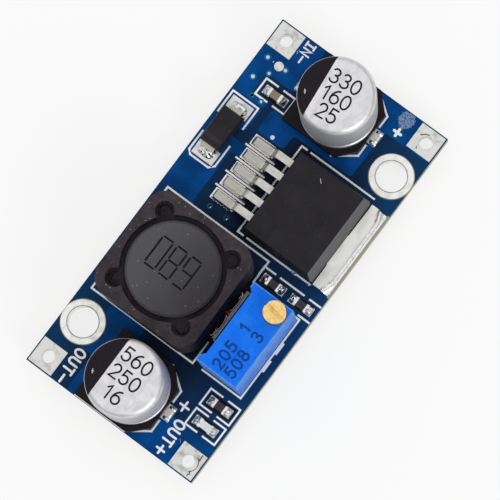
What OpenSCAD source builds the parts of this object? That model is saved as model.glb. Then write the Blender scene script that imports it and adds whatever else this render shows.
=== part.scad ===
// Buck converter module: a small circuit board that steps a direct voltage down.
// Frame: origin at the centre of the board on its underside. +X runs from the input end to the output
// end, +Y towards the long edge with the positive wire pads, +Z out of the component side. Millimetres.

/* [Board] */
// Length of the board
board_l = 43.6; // [43:0.1:45]
// Width of the board
board_w = 21; // [20.8:0.1:22]
// Thickness of the laminate
board_t = 1.6; // [1:0.1:2]
// Thickness of the tinned copper on both faces
foil_t = 0.1; // [0.06:0.01:0.14]
// Thickness of the copper and solder that line each plated hole
barrel_t = 0.2; // [0.16:0.01:0.25]
// Thickness of the printed legend
ink_t = 0.03; // [0.02:0.01:0.05]
// Width of a line of the printed legend
ink_w = 0.2; // [0.15:0.01:0.25]
// Distance that the printed legend and the lands keep from other copper
ink_gap = 0.1; // [0.05:0.05:0.15]
// How far the printed outlines of the regulator and inductor lie off them, towards the input end
ink_shift = 0.3; // [0:0.05:0.35]
// Diameter of each via
via_d = 0.6; // [0.5:0.05:0.7]
// Distance between neighbouring vias
via_step = 1.15; // [1:0.05:1.25]

/* [Wire pads] */
// Side of each square wire pad
pad_s = 2.9; // [2.6:0.1:3.1]
// Diameter of the hole in each wire pad
wire_d = 1.4; // [1:0.1:1.8]
// Distance from each wire pad to the edges of the board
pad_inset = 0.15; // [0.1:0.05:0.3]

/* [Mounting holes] */
// Diameter of each mounting hole
mount_d = 3.2; // [2.8:0.1:3.4]
// Width of the tinned ring around each mounting hole
ring_w = 0.7; // [0.5:0.05:0.75]
// Distance from each mounting ring to the nearer long edge of the board
ring_inset = 0.05; // [0.05:0.05:0.2]
// Distance from each end of the board to the axis of its mounting hole
mount_end = 6.5; // [6.3:0.1:6.7]

/* [Capacitors] */
// Diameter of each capacitor can
can_d = 8; // [7.8:0.1:8.2]
// Height of each capacitor above its lands
cap_h = 10.1; // [7:0.1:12]
// Radius of the rounded top edge of a can
can_edge_r = 0.7; // [0.4:0.1:1]
// Distance from the axis of a can to the straight side of its printed segment
mark_chord = 1.85; // [1.5:0.05:2.5]
// Turn of the print on the input can from the long edges of the board
print_turn = 6; // [-10:1:10]
// How far the square base stands out past the can on each side
base_margin = 0.15; // [0.1:0.05:0.25]
// Thickness of the base under the can
base_floor = 0.7; // [0.5:0.1:1]
// Height of the collar of the base around the can
base_collar = 0.6; // [0.4:0.1:1]
// Chamfer of the two corners of the base on the positive side
base_chamfer = 1.8; // [1.4:0.1:2]
// Width of a flat capacitor lead
cap_lead_w = 0.9; // [0.7:0.1:1.1]
// Thickness of a flat capacitor lead
cap_lead_t = 0.3; // [0.2:0.05:0.4]
// How far a capacitor lead stands out past the base
cap_lead_out = 0.7; // [0.5:0.1:0.9]
// Distance from the base of a capacitor to its end of the board
can_inset = 0.15; // [0.1:0.05:0.3]
// Offset of both capacitors from the long centre line of the board
can_y = -0.15; // [-0.3:0.05:0]

/* [Regulator] */
// Width of the moulded body
reg_w = 10.1; // [9.8:0.1:10.4]
// Length of the moulded body from its lead side to the tab
reg_l = 8.8; // [8.4:0.1:9.2]
// Height of the moulded body
reg_h = 4.3; // [4:0.1:4.6]
// Gap between the base of the input capacitor and the moulded body
reg_gap = 1.65; // [1.4:0.05:1.8]
// Gap between the moulded body and the inductor
middle_gap = 1.3; // [1.1:0.05:1.5]
// Thickness of the metal tab
tab_t = 1.3; // [1.1:0.1:1.5]
// How far the tab stands out past the moulded body
tab_out = 1.5; // [1.3:0.1:1.6]
// Distance from the tab to the long edge of the board
tab_inset = 0.7; // [0.65:0.05:0.9]
// Distance between neighbouring leads
lead_pitch = 1.7; // [1.6:0.02:1.8]
// Width of a lead
lead_w = 0.8; // [0.7:0.05:0.85]
// Thickness of a lead
lead_t = 0.45; // [0.35:0.05:0.55]
// Height of the middle of a lead above the lands where it leaves the body
lead_exit = 2.25; // [2.1:0.05:2.5]
// Length of the straight shoulder of a lead outside the body
lead_shoulder = 1.45; // [1.2:0.05:1.7]
// How far the leads reach out from the body
lead_reach = 4.65; // [4.4:0.05:5]
// Radius of the bends of a lead, at the middle of its thickness
lead_bend_r = 0.45; // [0.4:0.05:0.6]

/* [Diode] */
// Length of the moulded diode body
diode_l = 4.3; // [4:0.1:4.6]
// Width of the moulded diode body
diode_w = 2.6; // [2.4:0.1:2.8]
// Height of the moulded diode body
diode_h = 2.1; // [1.9:0.1:2.4]
// Width of a diode lead
diode_lead_w = 1.45; // [1.2:0.05:1.7]
// Thickness of a diode lead
diode_lead_t = 0.2; // [0.15:0.05:0.3]
// Distance from the input end of the board to the middle of the diode
diode_end = 12.9; // [12.5:0.1:13.3]
// Distance from the diode body to the long edge of the board
diode_inset = 0.65; // [0.5:0.05:0.8]
// Gap between the diode body and the tips of the regulator's leads
diode_gap = 2.1; // [1.9:0.05:2.4]

/* [Inductor] */
// Side of the square ferrite shield
choke_s = 12.3; // [12:0.1:12.5]
// Height of the inductor above its lands
choke_h = 7.6; // [6.5:0.1:8]
// Radius of the corners of the shield
choke_corner_r = 2; // [1.5:0.1:2.4]
// Diameter of the flanges of the drum core
core_d = 9.7; // [9.5:0.1:9.9]
// Diameter of the post of the drum core
post_d = 5; // [4:0.1:6]
// Thickness of each flange of the drum core
flange_t = 1.2; // [1:0.1:1.5]
// Chamfer of the outer edge of the top flange
core_edge = 0.25; // [0.1:0.05:0.35]
// Gap between the drum core and the shield
shield_gap = 0.55; // [0.45:0.05:0.6]
// Radius of the four corner pockets of the shield
lobe_r = 1; // [0.8:0.05:1.1]
// Distance from the axis of the inductor to the middle of each corner pocket
lobe_at = 5.87; // [5.7:0.01:5.95]
// Diameter of the coil of wire
coil_d = 8.6; // [7.5:0.1:9]
// Diameter of the copper wire at the two ends of the coil
wire_end_d = 0.5; // [0.4:0.05:0.55]
// Thickness of the base of the inductor
choke_base_t = 1; // [0.8:0.1:1.3]
// Width of the tongue of the base that carries each terminal
tongue_w = 6.5; // [5.5:0.1:7]
// How far each tongue stands out past the shield
tongue_out = 0.55; // [0.45:0.05:0.6]
// Thickness of the metal of a terminal
clip_t = 0.25; // [0.2:0.05:0.3]
// How far the lip of a terminal reaches back over its tongue
clip_lip = 0.35; // [0.3:0.05:0.5]
// Gap between the base of the output capacitor and the shield
choke_gap = 1.35; // [1.1:0.05:1.5]
// Distance from a terminal of the inductor to the long edge of the board
choke_inset = 0.45; // [0.35:0.05:0.6]

/* [Trimmer] */
// Length of the trimmer housing
trim_l = 9.53; // [9.4:0.01:9.8]
// Width of the trimmer housing
trim_w = 4.83; // [4.75:0.01:4.95]
// Height of the top of the trimmer housing above the board
trim_h = 10; // [9.9:0.05:10.5]
// Gap between a terminal of the inductor and the trimmer housing
trim_gap = 0.57; // [0.45:0.01:0.7]
// Distance from the trimmer housing to the long edge of the board
trim_inset = 1.25; // [1.1:0.05:1.4]
// How far the side of the inductor stands past the end of the trimmer housing
trim_back = 0.25; // [0:0.05:0.5]
// Height of the feet of the housing
trim_foot = 0.3; // [0.2:0.05:0.4]
// Thickness of the walls of the housing
trim_wall = 0.5; // [0.4:0.05:0.55]
// Thickness of the roof of the housing
trim_roof = 1.4; // [1.3:0.05:1.45]
// Depth of the panel in the side of the housing that faces the inductor
panel_depth = 0.45; // [0.3:0.05:0.5]
// Diameter of the head of the adjusting screw
screw_d = 2.3; // [2.1:0.05:2.4]
// How far the screw stands out above the housing
screw_out = 1.4; // [0.8:0.1:1.6]
// Width of the slot in the screw
slot_w = 0.4; // [0.3:0.05:0.6]
// Depth of the slot in the screw
slot_depth = 0.6; // [0.4:0.05:0.8]
// Turn of the slot from the long edges of the board
slot_turn = 80; // [0:5:175]
// Distance from the axis of the screw to the end and to the long side of the housing
screw_inset = 1.3; // [1.25:0.01:1.35]
// Number of teeth of the wiper wheel, one for each turn of the screw
wheel_teeth = 28; // [26:1:30]
// Mean radius of the toothed rim of the wiper wheel
wheel_r = 3.225; // [3.15:0.005:3.25]
// Thickness of the wiper wheel
wheel_t = 1; // [0.8:0.05:1.1]
// Mean radius of the thread of the screw
worm_r = 0.575; // [0.55:0.005:0.6]
// Half the depth of the thread of the screw
thread_depth = 0.125; // [0.1:0.005:0.13]
// Length of the threaded stretch of the screw
worm_l = 4; // [3:0.1:4.5]
// Clearance all round a part that turns
run_gap = 0.05; // [0.04:0.005:0.06]
// Clearance between the thread and the teeth
mesh_gap = 0.1; // [0.08:0.01:0.12]
// Thickness of the ceramic element
element_t = 0.6; // [0.5:0.05:0.65]
// Thickness of the potting that closes the housing
potting_t = 1.3; // [1.1:0.05:1.35]
// Thickness of a trimmer pin
pin_d = 0.5; // [0.4:0.02:0.6]
// Distance between neighbouring trimmer pins
pin_pitch = 2.54; // [2.5:0.01:2.6]
// How far the trimmer pins stand out below the board
pin_out = 1; // [0.6:0.1:1.5]
// Diameter of a plated hole for a trimmer pin
pin_hole_d = 0.9; // [0.8:0.05:1]

/* [Chip parts] */
// Length of a chip part
chip_l = 1.6; // [1.5:0.05:1.7]
// Width of a chip part
chip_w = 0.8; // [0.7:0.05:0.9]
// Thickness of a chip resistor
resistor_t = 0.45; // [0.4:0.05:0.55]
// Thickness of the ceramic capacitor
ceramic_t = 0.8; // [0.6:0.05:0.9]
// Thickness of the light-emitting diode
led_t = 0.6; // [0.5:0.05:0.8]
// Length of the metal terminal at each end of a chip part
chip_end = 0.3; // [0.2:0.02:0.4]
// Thickness of the metal of a chip terminal
chip_end_t = 0.04; // [0.03:0.01:0.06]
// Distance from the input end of the board to the middle of the ceramic capacitor
ceramic_end = 6.9; // [6.7:0.1:7.1]
// Gap between the base of the input capacitor and the lands of the ceramic capacitor
ceramic_gap = 0.6; // [0.5:0.05:0.7]
// Gap between the divider resistors and the trimmer housing
divider_gap = 1.1; // [0.9:0.05:1.2]
// Distance from the long edge of the board to the lands of the outer divider resistor
divider_inset = 0.45; // [0.3:0.05:0.6]
// Gap between the lands of one divider resistor and the next, and between the inner one and the inductor
divider_step = 0.7; // [0.6:0.05:0.8]
// Gap between the trimmer housing and the resistor of the light
led_resistor_gap = 1.75; // [1.6:0.05:1.9]
// Distance between the middles of the light and its resistor
led_pitch = 2.45; // [2.3:0.05:2.5]
// Distance from the long edge of the board to the middles of the light and its resistor
led_inset = 2.25; // [2.1:0.05:2.4]

/* [Hidden] */
$fn = 72;

// How far a cut runs past the faces that it opens
cut = 0.5;
// Height of the top of the lands, on which every surface-mount part stands
land_z = board_t + foil_t;

// Along the board the capacitors, regulator and inductor share the free length in the ratio of their gaps.
// Across it the diode and regulator, the inductor and trimmer, and the divider share the free width alike.
terminal_out = tongue_out + clip_t;
base_s = can_d + 2*base_margin;
chip_land_out = 1.4;
spread_x = (board_l - 2*base_s - reg_w - choke_s)/(2*can_inset + reg_gap + middle_gap + choke_gap);
spread_reg = (board_w - diode_w - lead_reach - reg_l - tab_out)/(diode_inset + diode_gap + tab_inset);
spread_trim = (board_w - choke_s - 2*terminal_out - trim_w)/(choke_inset + trim_gap + trim_inset);

// Round holes through the board
wire_x = board_l/2 - pad_inset - pad_s/2;
wire_y = board_w/2 - pad_inset - pad_s/2;
ring_d = mount_d + 2*ring_w;
mount_x = board_l/2 - mount_end;
mount_y = board_w/2 - ring_inset - ring_d/2;

// Capacitors
base_fit = 0.05;
cap_x = board_l/2 - spread_x*can_inset - base_s/2;
can_bottom = land_z + base_floor;
can_top = land_z + cap_h;
cap_land_w = 1.7;
cap_land_out = 0.95;
stub_d = 0.6;

// Regulator
reg_x = -cap_x + base_s/2 + spread_x*reg_gap + reg_w/2;
reg_back = board_w/2 - spread_reg*tab_inset - tab_out;
reg_front = reg_back - reg_l;
lead_count = 5;
lead_bend_a = 80;
lead_root = 0.9;
lead_land_w = 1.05;
lead_land_l = 2.75;
lead_land_out = 0.3;
tab_land_out = 0.5;
die_l = 3.6;
die_w = 2.6;
die_t = 0.3;

// Diode
diode_x = -board_l/2 + diode_end;
diode_y = -board_w/2 + spread_reg*diode_inset + diode_w/2;
diode_lead_gap = 0.25;
diode_foot = 1.1;
diode_land_l = 1.6;
diode_land_in = 2.05;

// Inductor
choke_x = cap_x - base_s/2 - spread_x*choke_gap - choke_s/2;
choke_y = -board_w/2 + spread_trim*choke_inset + terminal_out + choke_s/2;
choke_floor = land_z + choke_base_t;
choke_top = land_z + choke_h;
core_drop = 0.1;
bore_d = core_d + 2*shield_gap;
clip_reach = 2.6;
wire_notch = wire_end_d + 0.1;
terminal_y = choke_s/2 + terminal_out;
choke_land_in = 3.6;
choke_land_out = 0.15;
adhesive_drop = 0.9;
adhesive_t = 1.3;

// Trimmer, in a frame of its own with its origin below the middle of the housing on the board
trim_x = choke_x + choke_s/2 - trim_back - trim_l/2;
trim_y = choke_y + terminal_y + spread_trim*trim_gap + trim_w/2;
screw_x = -trim_l/2 + screw_inset;
screw_y = trim_w/2 - screw_inset;
cavity_top = trim_h - trim_roof;
potting_top = trim_foot + potting_t;
wheel_z = (cavity_top + potting_top)/2;
wheel_x = screw_x + worm_r + mesh_gap + wheel_r;
wheel_front = screw_y - wheel_t/2;
thread_pitch = 2*PI*wheel_r/wheel_teeth;
neck_d = 0.9;
head_in = 0.5;
seal_t = 0.5;
pivot_d = 1.1;
element_face = -pin_d/2;
wiper_t = 0.1;
wiper_w = 0.7;
wiper_d = 2.4;
wiper_reach = 2.5;
pin_top = potting_top + 0.6;
pin_pad_d = 1.6;
pin_at = [for (i = [-1:1]) [trim_x + i*pin_pitch, trim_y]];

// Chip parts: middle of each, all lie along Y
ceramic_at = [-board_l/2 + ceramic_end, can_y - base_s/2 - ceramic_gap - chip_land_out];
divider_x = trim_x - trim_l/2 - divider_gap - chip_w/2;
spread_div = (board_w/2 - choke_y - choke_s/2 - 4*chip_land_out)/(divider_inset + 2*divider_step);
outer_at = [divider_x, board_w/2 - spread_div*divider_inset - chip_land_out];
inner_at = outer_at - [0, spread_div*divider_step + 2*chip_land_out];
led_resistor_at = [trim_x + trim_l/2 + led_resistor_gap + chip_w/2, board_w/2 - led_inset];
led_at = led_resistor_at + [led_pitch, 0];
chip_land_in = 0.5;
chip_land_w = 1;
box_half = [0.98, 1.85];

// Vias, with the tinned test point and the printed dots beside them. Those at the input follow the inner
// corner of the negative wire pad, and the other two the last lead of the regulator.
pad_corner = [-wire_x + pad_s/2, -wire_y + pad_s/2];
lead_corner = [reg_x + (lead_count + 0.62)*lead_pitch/2, reg_front - lead_reach];
via_at = [for (p = [[1, 0.35], [2, -0.75], [3.1, -1.75], [4.5, -0.75]]) pad_corner + via_step*p,
    for (p = [0.22, 2.02]) lead_corner + via_step*[0, p]];
test_point = pad_corner + via_step*[1, -0.35];
test_point_d = 1;
pin_dot = [reg_x - (lead_count + 0.5)*lead_pitch/2, reg_front - lead_reach + via_step];
corner_dot = pad_corner + via_step*[0.9, -1.7];
dot_d = 0.45;

// A box from its lowest corner a to its highest corner b
module box(a, b) {
    translate(a) cube(b - a);
}

// A box with its middle at c, seen from above, between the heights z0 and z1
module slab(c, size, z0, z1) {
    box([c.x - size.x/2, c.y - size.y/2, z0], [c.x + size.x/2, c.y + size.y/2, z1]);
}

// An upright round bar between the heights z0 and z1
module post(c, d, z0, z1) {
    translate([c.x, c.y, z0]) cylinder(d = d, h = z1 - z0);
}

// A round hole right through the board and its copper
module drill(c, d) {
    post(c, d, -foil_t - cut, land_z + cut);
}

// The points of an arc, in steps that keep its facets short
function arc(c, r, a0, a1, n = 8) =
    [for (i = [0:n]) let (a = a0 + (a1 - a0)*i/n) c + r*[cos(a), sin(a)]];

module circuit_board() {
    color("mediumblue")
    difference() {
        slab([0, 0], [board_l, board_w], 0, board_t);
        for (s = [-1, 1]) drill([s*mount_x, -s*mount_y], mount_d + 2*barrel_t);
        for (x = [-wire_x, wire_x], y = [-wire_y, wire_y]) drill([x, y], wire_d + 2*barrel_t);
        for (p = pin_at) drill(p, pin_hole_d + 2*barrel_t);
        for (p = via_at) drill(p, via_d);
    }
}

// A square pad on both faces of the board, joined through its hole
module wire_pad(c) {
    color("gainsboro")
    difference() {
        union() {
            slab(c, [pad_s, pad_s], board_t, land_z);
            slab(c, [pad_s, pad_s], -foil_t, 0);
            post(c, wire_d + 2*barrel_t, -foil_t, land_z);
        }
        drill(c, wire_d);
    }
}

module wire_pad_in_minus() { wire_pad([-wire_x, -wire_y]); }
module wire_pad_in_plus() { wire_pad([-wire_x, wire_y]); }
module wire_pad_out_minus() { wire_pad([wire_x, -wire_y]); }
module wire_pad_out_plus() { wire_pad([wire_x, wire_y]); }

// A round ring on both faces of the board, joined through its hole
module plated_ring(c, hole_d, outer_d) {
    color("gainsboro")
    difference() {
        union() {
            post(c, outer_d, board_t, land_z);
            post(c, outer_d, -foil_t, 0);
            post(c, hole_d + 2*barrel_t, -foil_t, land_z);
        }
        drill(c, hole_d);
    }
}

module mounting_ring_in() { plated_ring([-mount_x, mount_y], mount_d, ring_d); }
module mounting_ring_out() { plated_ring([mount_x, -mount_y], mount_d, ring_d); }

module pin_pads() {
    for (p = pin_at) plated_ring(p, pin_hole_d, pin_pad_d);
}

module vias() {
    color("steelblue")
    for (p = via_at) difference() {
        post(p, via_d, 0, board_t);
        drill(p, via_d/2);
    }
}

// The space above the top face within a margin m of a land centred on c
module land(c, size, m) {
    slab(c, size + 2*[m, m], board_t, land_z + m);
}

// The two lands of a part that lies along Y: from near to far on each side of its middle
module land_pair(c, w, near, far, m) {
    for (s = [-1, 1]) land(c + [0, s*(near + far)/2], [w, far - near], m);
}

// Every land and the test point, each with a margin m around it
module lands(m) {
    tab_land = [reg_front + 2, reg_back + tab_out + tab_land_out];
    for (s = [-1, 1]) {
        land_pair([s*cap_x, can_y], cap_land_w, base_s/2 - 2, base_s/2 + cap_land_out, m);
        land([diode_x + s*(diode_land_in + diode_land_l/2), diode_y], [diode_land_l, diode_w], m);
    }
    for (i = [0:lead_count - 1])
        land([lead_x(i), reg_front - lead_reach - lead_land_out + lead_land_l/2],
            [lead_land_w, lead_land_l], m);
    land([reg_x, (tab_land[0] + tab_land[1])/2], [reg_w - 0.4, tab_land[1] - tab_land[0]], m);
    land_pair([choke_x, choke_y], tongue_w - 0.4, choke_land_in, terminal_y + choke_land_out, m);
    for (p = [ceramic_at, inner_at, outer_at, led_resistor_at, led_at])
        land_pair(p, chip_land_w, chip_land_in, chip_land_out, m);
    post(test_point, test_point_d + 2*m, board_t, land_z + m);
}

// The space around each mounting ring that other copper and the legend keep clear of
module ring_clearance() {
    for (s = [-1, 1]) drill([s*mount_x, -s*mount_y], ring_d + 2*ink_gap);
}

module copper_lands() {
    color("silver") difference() {
        lands(0);
        ring_clearance();
    }
}

// A straight printed line from a to b
module ink_line(a, b) {
    d = b - a;
    translate([a.x, a.y, board_t]) rotate(atan2(d.y, d.x)) translate([-ink_w/2, -ink_w/2, 0])
        cube([norm(d) + ink_w, ink_w, ink_t]);
}

// A printed line through several points
module ink_path(points) {
    for (i = [0:len(points) - 2]) ink_line(points[i], points[i + 1]);
}

// A printed bracket around each end of a chip part
module ink_box(c) {
    for (s = [-1, 1])
        ink_path([c + [-box_half.x, s*0.4], c + [-box_half.x, s*box_half.y],
            c + [box_half.x, s*box_half.y], c + [box_half.x, s*0.4]]);
}

// The printed outline on the positive side of a capacitor, from the end of the board inwards
module ink_capacitor(side) {
    h = base_s/2;
    c = [side*cap_x, can_y];
    for (s = [-1, 1])
        ink_path([c + [s*h, h - base_chamfer - 0.3], c + [s*(h - base_chamfer + 0.15), h + 0.15],
            c + [s*(cap_land_w/2 + 0.35), h + 0.15]]);
    ink_line(c + [side*h, -h], c + [side*h, h - base_chamfer - 0.3]);
}

module ink_regulator() {
    out = reg_w/2 + 0.4;
    x = reg_x - ink_shift;
    front = reg_front - 0.55;
    tips = reg_front - lead_reach - 0.6;
    ink_line([x - out, front], [x + out, front]);
    for (s = [-1, 1]) {
        ink_line([x + s*out, front], [x + s*out, front + 0.65]);
        ink_line([x + s*out, reg_front + 0.65], [x + s*out, reg_back - 0.2]);
    }
    for (i = [0:lead_count - 2])
        ink_line([lead_x(i + 0.5), tips], [lead_x(i + 0.5), tips + 3.5]);
}

// The outline around the inductor: its four corners, and its two sides along Y
module ink_inductor() {
    h = choke_s/2 + 0.3;
    c = [choke_x - ink_shift, choke_y];
    for (s = [-1, 1])
        ink_path([c + [s*(h - 1.2), -h], c + [s*h, -h], c + [s*h, h], c + [s*(h - 2.6), h]]);
}

// The outline around the trimmer, open towards the inductor, with the sign of a variable resistor
module ink_trimmer() {
    h = [trim_l/2 + 0.2, trim_w/2 + 0.15];
    c = [trim_x, trim_y];
    ink_path([c + [h.x, -h.y + 0.3], c + h, c + [-h.x, h.y], c + [-h.x, h.y - 1.2]]);
    for (s = [-1, 1]) ink_line(c + [s*1.1 - 0.9, h.y + 0.2], c + [s*1.1 + 0.3, h.y + 0.2]);
}

module ink_diode() {
    h = [diode_land_in + diode_land_l + 0.3, diode_w/2 + 0.3];
    c = [diode_x, diode_y];
    ink_path([c + [-h.x + 2.6, -h.y], c - h, c + [-h.x, h.y], c + [-h.x + 2.6, h.y]]);
    ink_path([c + [h.x - 2.7, -h.y], c + [h.x - 0.4, -h.y], c + [h.x, -h.y + 0.4],
        c + [h.x, h.y - 0.5], c + [h.x - 0.5, h.y], c + [h.x - 3, h.y]]);
}

module ink_divider() {
    x = divider_x - box_half.x;
    ink_line([x, inner_at.y - box_half.y], [x, inner_at.y - 0.5]);
    ink_line([x, inner_at.y + 0.2], [x, outer_at.y - 0.4]);
    ink_line([x, outer_at.y + 0.4], [x, outer_at.y + box_half.y - 0.15]);
    ink_line([divider_x + box_half.x, outer_at.y + 0.4],
        [divider_x + box_half.x, outer_at.y + box_half.y - 0.15]);
    ink_line([x, inner_at.y - box_half.y], [divider_x, inner_at.y - box_half.y]);
}

// The whole printed legend. It is left out wherever a land or a mounting ring would carry it.
module board_legend() {
    color("white") difference() {
        ink();
        lands(ink_gap);
        ring_clearance();
    }
}

module ink() {
    union() {
        for (side = [-1, 1]) ink_capacitor(side);
        ink_regulator();
        ink_inductor();
        ink_trimmer();
        ink_diode();
        ink_divider();
        for (p = [ceramic_at, led_resistor_at, led_at]) ink_box(p);
        for (p = [pin_dot, corner_dot]) post(p, dot_d, board_t, board_t + ink_t);
    }
}

// The two-dimensional outline of a capacitor base, with chamfers on the positive side
module base_outline() {
    h = base_s/2;
    polygon([[-h, -h], [h, -h], [h, h - base_chamfer], [h - base_chamfer, h],
        [-h + base_chamfer, h], [-h, h - base_chamfer]]);
}

// A sealed can: rounded top edge, rolled bottom edge and the crimped groove above it
module can(side) {
    roll_r = 0.3;
    groove_r = 0.5;
    groove_in = 0.25;
    h = can_top - can_bottom;
    r = can_d/2;
    color("gainsboro")
    translate([side*cap_x, can_y, can_bottom]) rotate_extrude() difference() {
        union() {
            square([r - roll_r, h - can_edge_r]);
            square([r - can_edge_r, h]);
            translate([0, roll_r]) square([r, h - can_edge_r - roll_r]);
            translate([r - can_edge_r, h - can_edge_r]) circle(can_edge_r);
            translate([r - roll_r, roll_r]) circle(roll_r);
        }
        translate([r - groove_in + groove_r, base_collar + 4*roll_r]) circle(groove_r);
        translate([-r, -cut]) square([r, h + 2*cut]);
    }
}

// Printed segment on the negative side of the top
module can_mark(side, turn) {
    color("black")
    translate([side*cap_x, can_y, can_top]) rotate(turn) intersection() {
        cylinder(d = can_d - 2*can_edge_r, h = ink_t);
        translate([-can_d/2, -can_d/2, 0]) cube([can_d, can_d/2 - mark_chord, ink_t]);
    }
}

// A flat lead under the base on each side, with a round stub up to the can
module cap_leads(side) {
    stub_y = 1.5;
    color("silver")
    translate([side*cap_x, can_y, 0]) for (s = [-1, 1]) {
        y0 = s*(stub_y - stub_d/2);
        y1 = s*(base_s/2 + cap_lead_out);
        box([-cap_lead_w/2, min(y0, y1), land_z], [cap_lead_w/2, max(y0, y1), land_z + cap_lead_t]);
        post([0, s*stub_y], stub_d, land_z, can_bottom);
    }
}

module can_base(side) {
    color([0.12, 0.12, 0.13])
    difference() {
        translate([side*cap_x, can_y, land_z]) linear_extrude(base_floor + base_collar) base_outline();
        post([side*cap_x, can_y], can_d + 2*base_fit, can_bottom, can_bottom + base_collar + cut);
        cap_leads(side);
    }
}

module input_can() { can(-1); }
module input_can_mark() { can_mark(-1, print_turn); }
module input_can_base() { can_base(-1); }
module input_can_leads() { cap_leads(-1); }
module output_can() { can(1); }
module output_can_mark() { can_mark(1, 0); }
module output_can_base() { can_base(1); }
module output_can_leads() { cap_leads(1); }

// Middle of lead i, counted from the input side
function lead_x(i) = reg_x + (i - (lead_count - 1)/2)*lead_pitch;

// Side view of a formed lead, as [y, z] from its root inside the body to its tip on the land
function lead_side(root) =
    let (drop = lead_exit - lead_t/2, r = lead_bend_r, a = lead_bend_a, t = lead_t/2,
        straight = (drop - 2*r*(1 - cos(a)))/sin(a),
        y1 = -lead_shoulder,
        y2 = y1 - 2*r*sin(a) - straight*cos(a))
    concat([[root, drop + t]], [[root, drop - t]],
        arc([y1, drop - r], r - t, 90, 90 + a),
        arc([y2, r], r + t, 270 + a, 270),
        [[-lead_reach, -t], [-lead_reach, t]],
        arc([y2, r], r - t, 270, 270 + a),
        arc([y1, drop - r], r + t, 90 + a, 90));

module lead(i, root) {
    translate([lead_x(i) - lead_w/2, reg_front, land_z + lead_t/2])
        rotate([90, 0, 90]) linear_extrude(lead_w) polygon(lead_side(root));
}

module regulator_leads() {
    color("silver")
    for (i = [0:lead_count - 1]) if (i != (lead_count - 1)/2) lead(i, lead_root);
}

// The tab is a plate under the body. The middle lead is one piece with it, through a step inside the body.
module regulator_tab() {
    step_l = 0.6;
    plate_y = reg_front + lead_root + step_l/2;
    wide = [reg_w, tab_out];
    nose = [1.2, 0.4];
    color("silver") union() {
        box([reg_x - reg_w/2 + 0.9, plate_y, land_z], [reg_x + reg_w/2 - 0.9, reg_back, land_z + tab_t]);
        translate([reg_x, reg_back, land_z]) linear_extrude(tab_t)
            polygon([[-wide.x/2, 0], [wide.x/2, 0], [wide.x/2, wide.y - nose.y], [wide.x/2 - nose.x, wide.y],
                [-wide.x/2 + nose.x, wide.y], [-wide.x/2, wide.y - nose.y]]);
        lead((lead_count - 1)/2, plate_y - reg_front);
        box([reg_x - lead_w/2, plate_y - step_l/2, land_z + tab_t/2],
            [reg_x + lead_w/2, plate_y + step_l, land_z + lead_exit + lead_t/2]);
    }
}

module regulator_die() {
    color("dimgray")
    slab([reg_x, reg_back - 3.2], [die_l, die_w], land_z + tab_t, land_z + tab_t + die_t);
}

// Moulded body: every side slopes in above and below the plane of the leads
module regulator_body() {
    draft = 0.3;
    bevel = 0.65;
    color([0.16, 0.15, 0.17])
    difference() {
        intersection() {
            translate([reg_x - reg_w/2, 0, land_z]) rotate([90, 0, 90]) linear_extrude(reg_w)
                polygon([[reg_front + draft, 0], [reg_front, lead_exit], [reg_front + draft, reg_h],
                    [reg_back - bevel, reg_h], [reg_back, tab_t], [reg_back, 0]]);
            translate([reg_x, reg_back, land_z]) rotate([90, 0, 0]) linear_extrude(reg_l)
                polygon([[-reg_w/2 + draft, 0], [-reg_w/2, lead_exit], [-reg_w/2 + draft, reg_h],
                    [reg_w/2 - draft, reg_h], [reg_w/2, lead_exit], [reg_w/2 - draft, 0]]);
        }
        regulator_tab();
        regulator_leads();
        regulator_die();
    }
}

module diode_body() {
    draft = 0.2;
    part_z = diode_h/2;
    color([0.13, 0.13, 0.14])
    translate([diode_x, diode_y, land_z]) intersection() {
        translate([-diode_l/2, 0, 0]) rotate([90, 0, 90]) linear_extrude(diode_l)
            polygon([[-diode_w/2 + draft, diode_lead_t], [-diode_w/2, part_z], [-diode_w/2 + draft, diode_h],
                [diode_w/2 - draft, diode_h], [diode_w/2, part_z], [diode_w/2 - draft, diode_lead_t]]);
        translate([0, diode_w/2, 0]) rotate([90, 0, 0]) linear_extrude(diode_w)
            polygon([[-diode_l/2 + draft, diode_lead_t], [-diode_l/2, part_z], [-diode_l/2 + draft, diode_h],
                [diode_l/2 - draft, diode_h], [diode_l/2, part_z], [diode_l/2 - draft, diode_lead_t]]);
    }
}

// Each lead leaves the middle of an end face, turns down and folds under the body
module diode_leads() {
    far = diode_l/2 + diode_lead_gap;
    t = diode_lead_t;
    mid = diode_h/2;
    color("silver")
    difference() {
        for (s = [-1, 1]) translate([diode_x, diode_y, land_z]) mirror([s < 0 ? 1 : 0, 0, 0])
            translate([0, diode_lead_w/2, 0]) rotate([90, 0, 0]) linear_extrude(diode_lead_w)
                polygon([[diode_l/2 - 0.2, mid + t/2], [far + t, mid + t/2], [far + t, 0],
                    [far + t - diode_foot, 0], [far + t - diode_foot, t], [far, t], [far, mid - t/2],
                    [diode_l/2 - 0.2, mid - t/2]]);
        diode_body();
    }
}

module diode_band() {
    color("silver")
    slab([diode_x + diode_l/2 - 0.75, diode_y], [0.5, diode_w - 0.5],
        land_z + diode_h, land_z + diode_h + ink_t);
}

// Drum core: a post between two round flanges
module choke_core() {
    c = [choke_x, choke_y];
    color([0.30, 0.29, 0.30]) union() {
        post(c, core_d, choke_floor, choke_floor + flange_t);
        post(c, post_d, choke_floor, choke_top - core_drop);
        post(c, core_d, choke_top - core_drop - flange_t, choke_top - core_drop - core_edge);
        translate([c.x, c.y, choke_top - core_drop - core_edge])
            cylinder(d1 = core_d, d2 = core_d - 2*core_edge, h = core_edge);
    }
}

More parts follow.
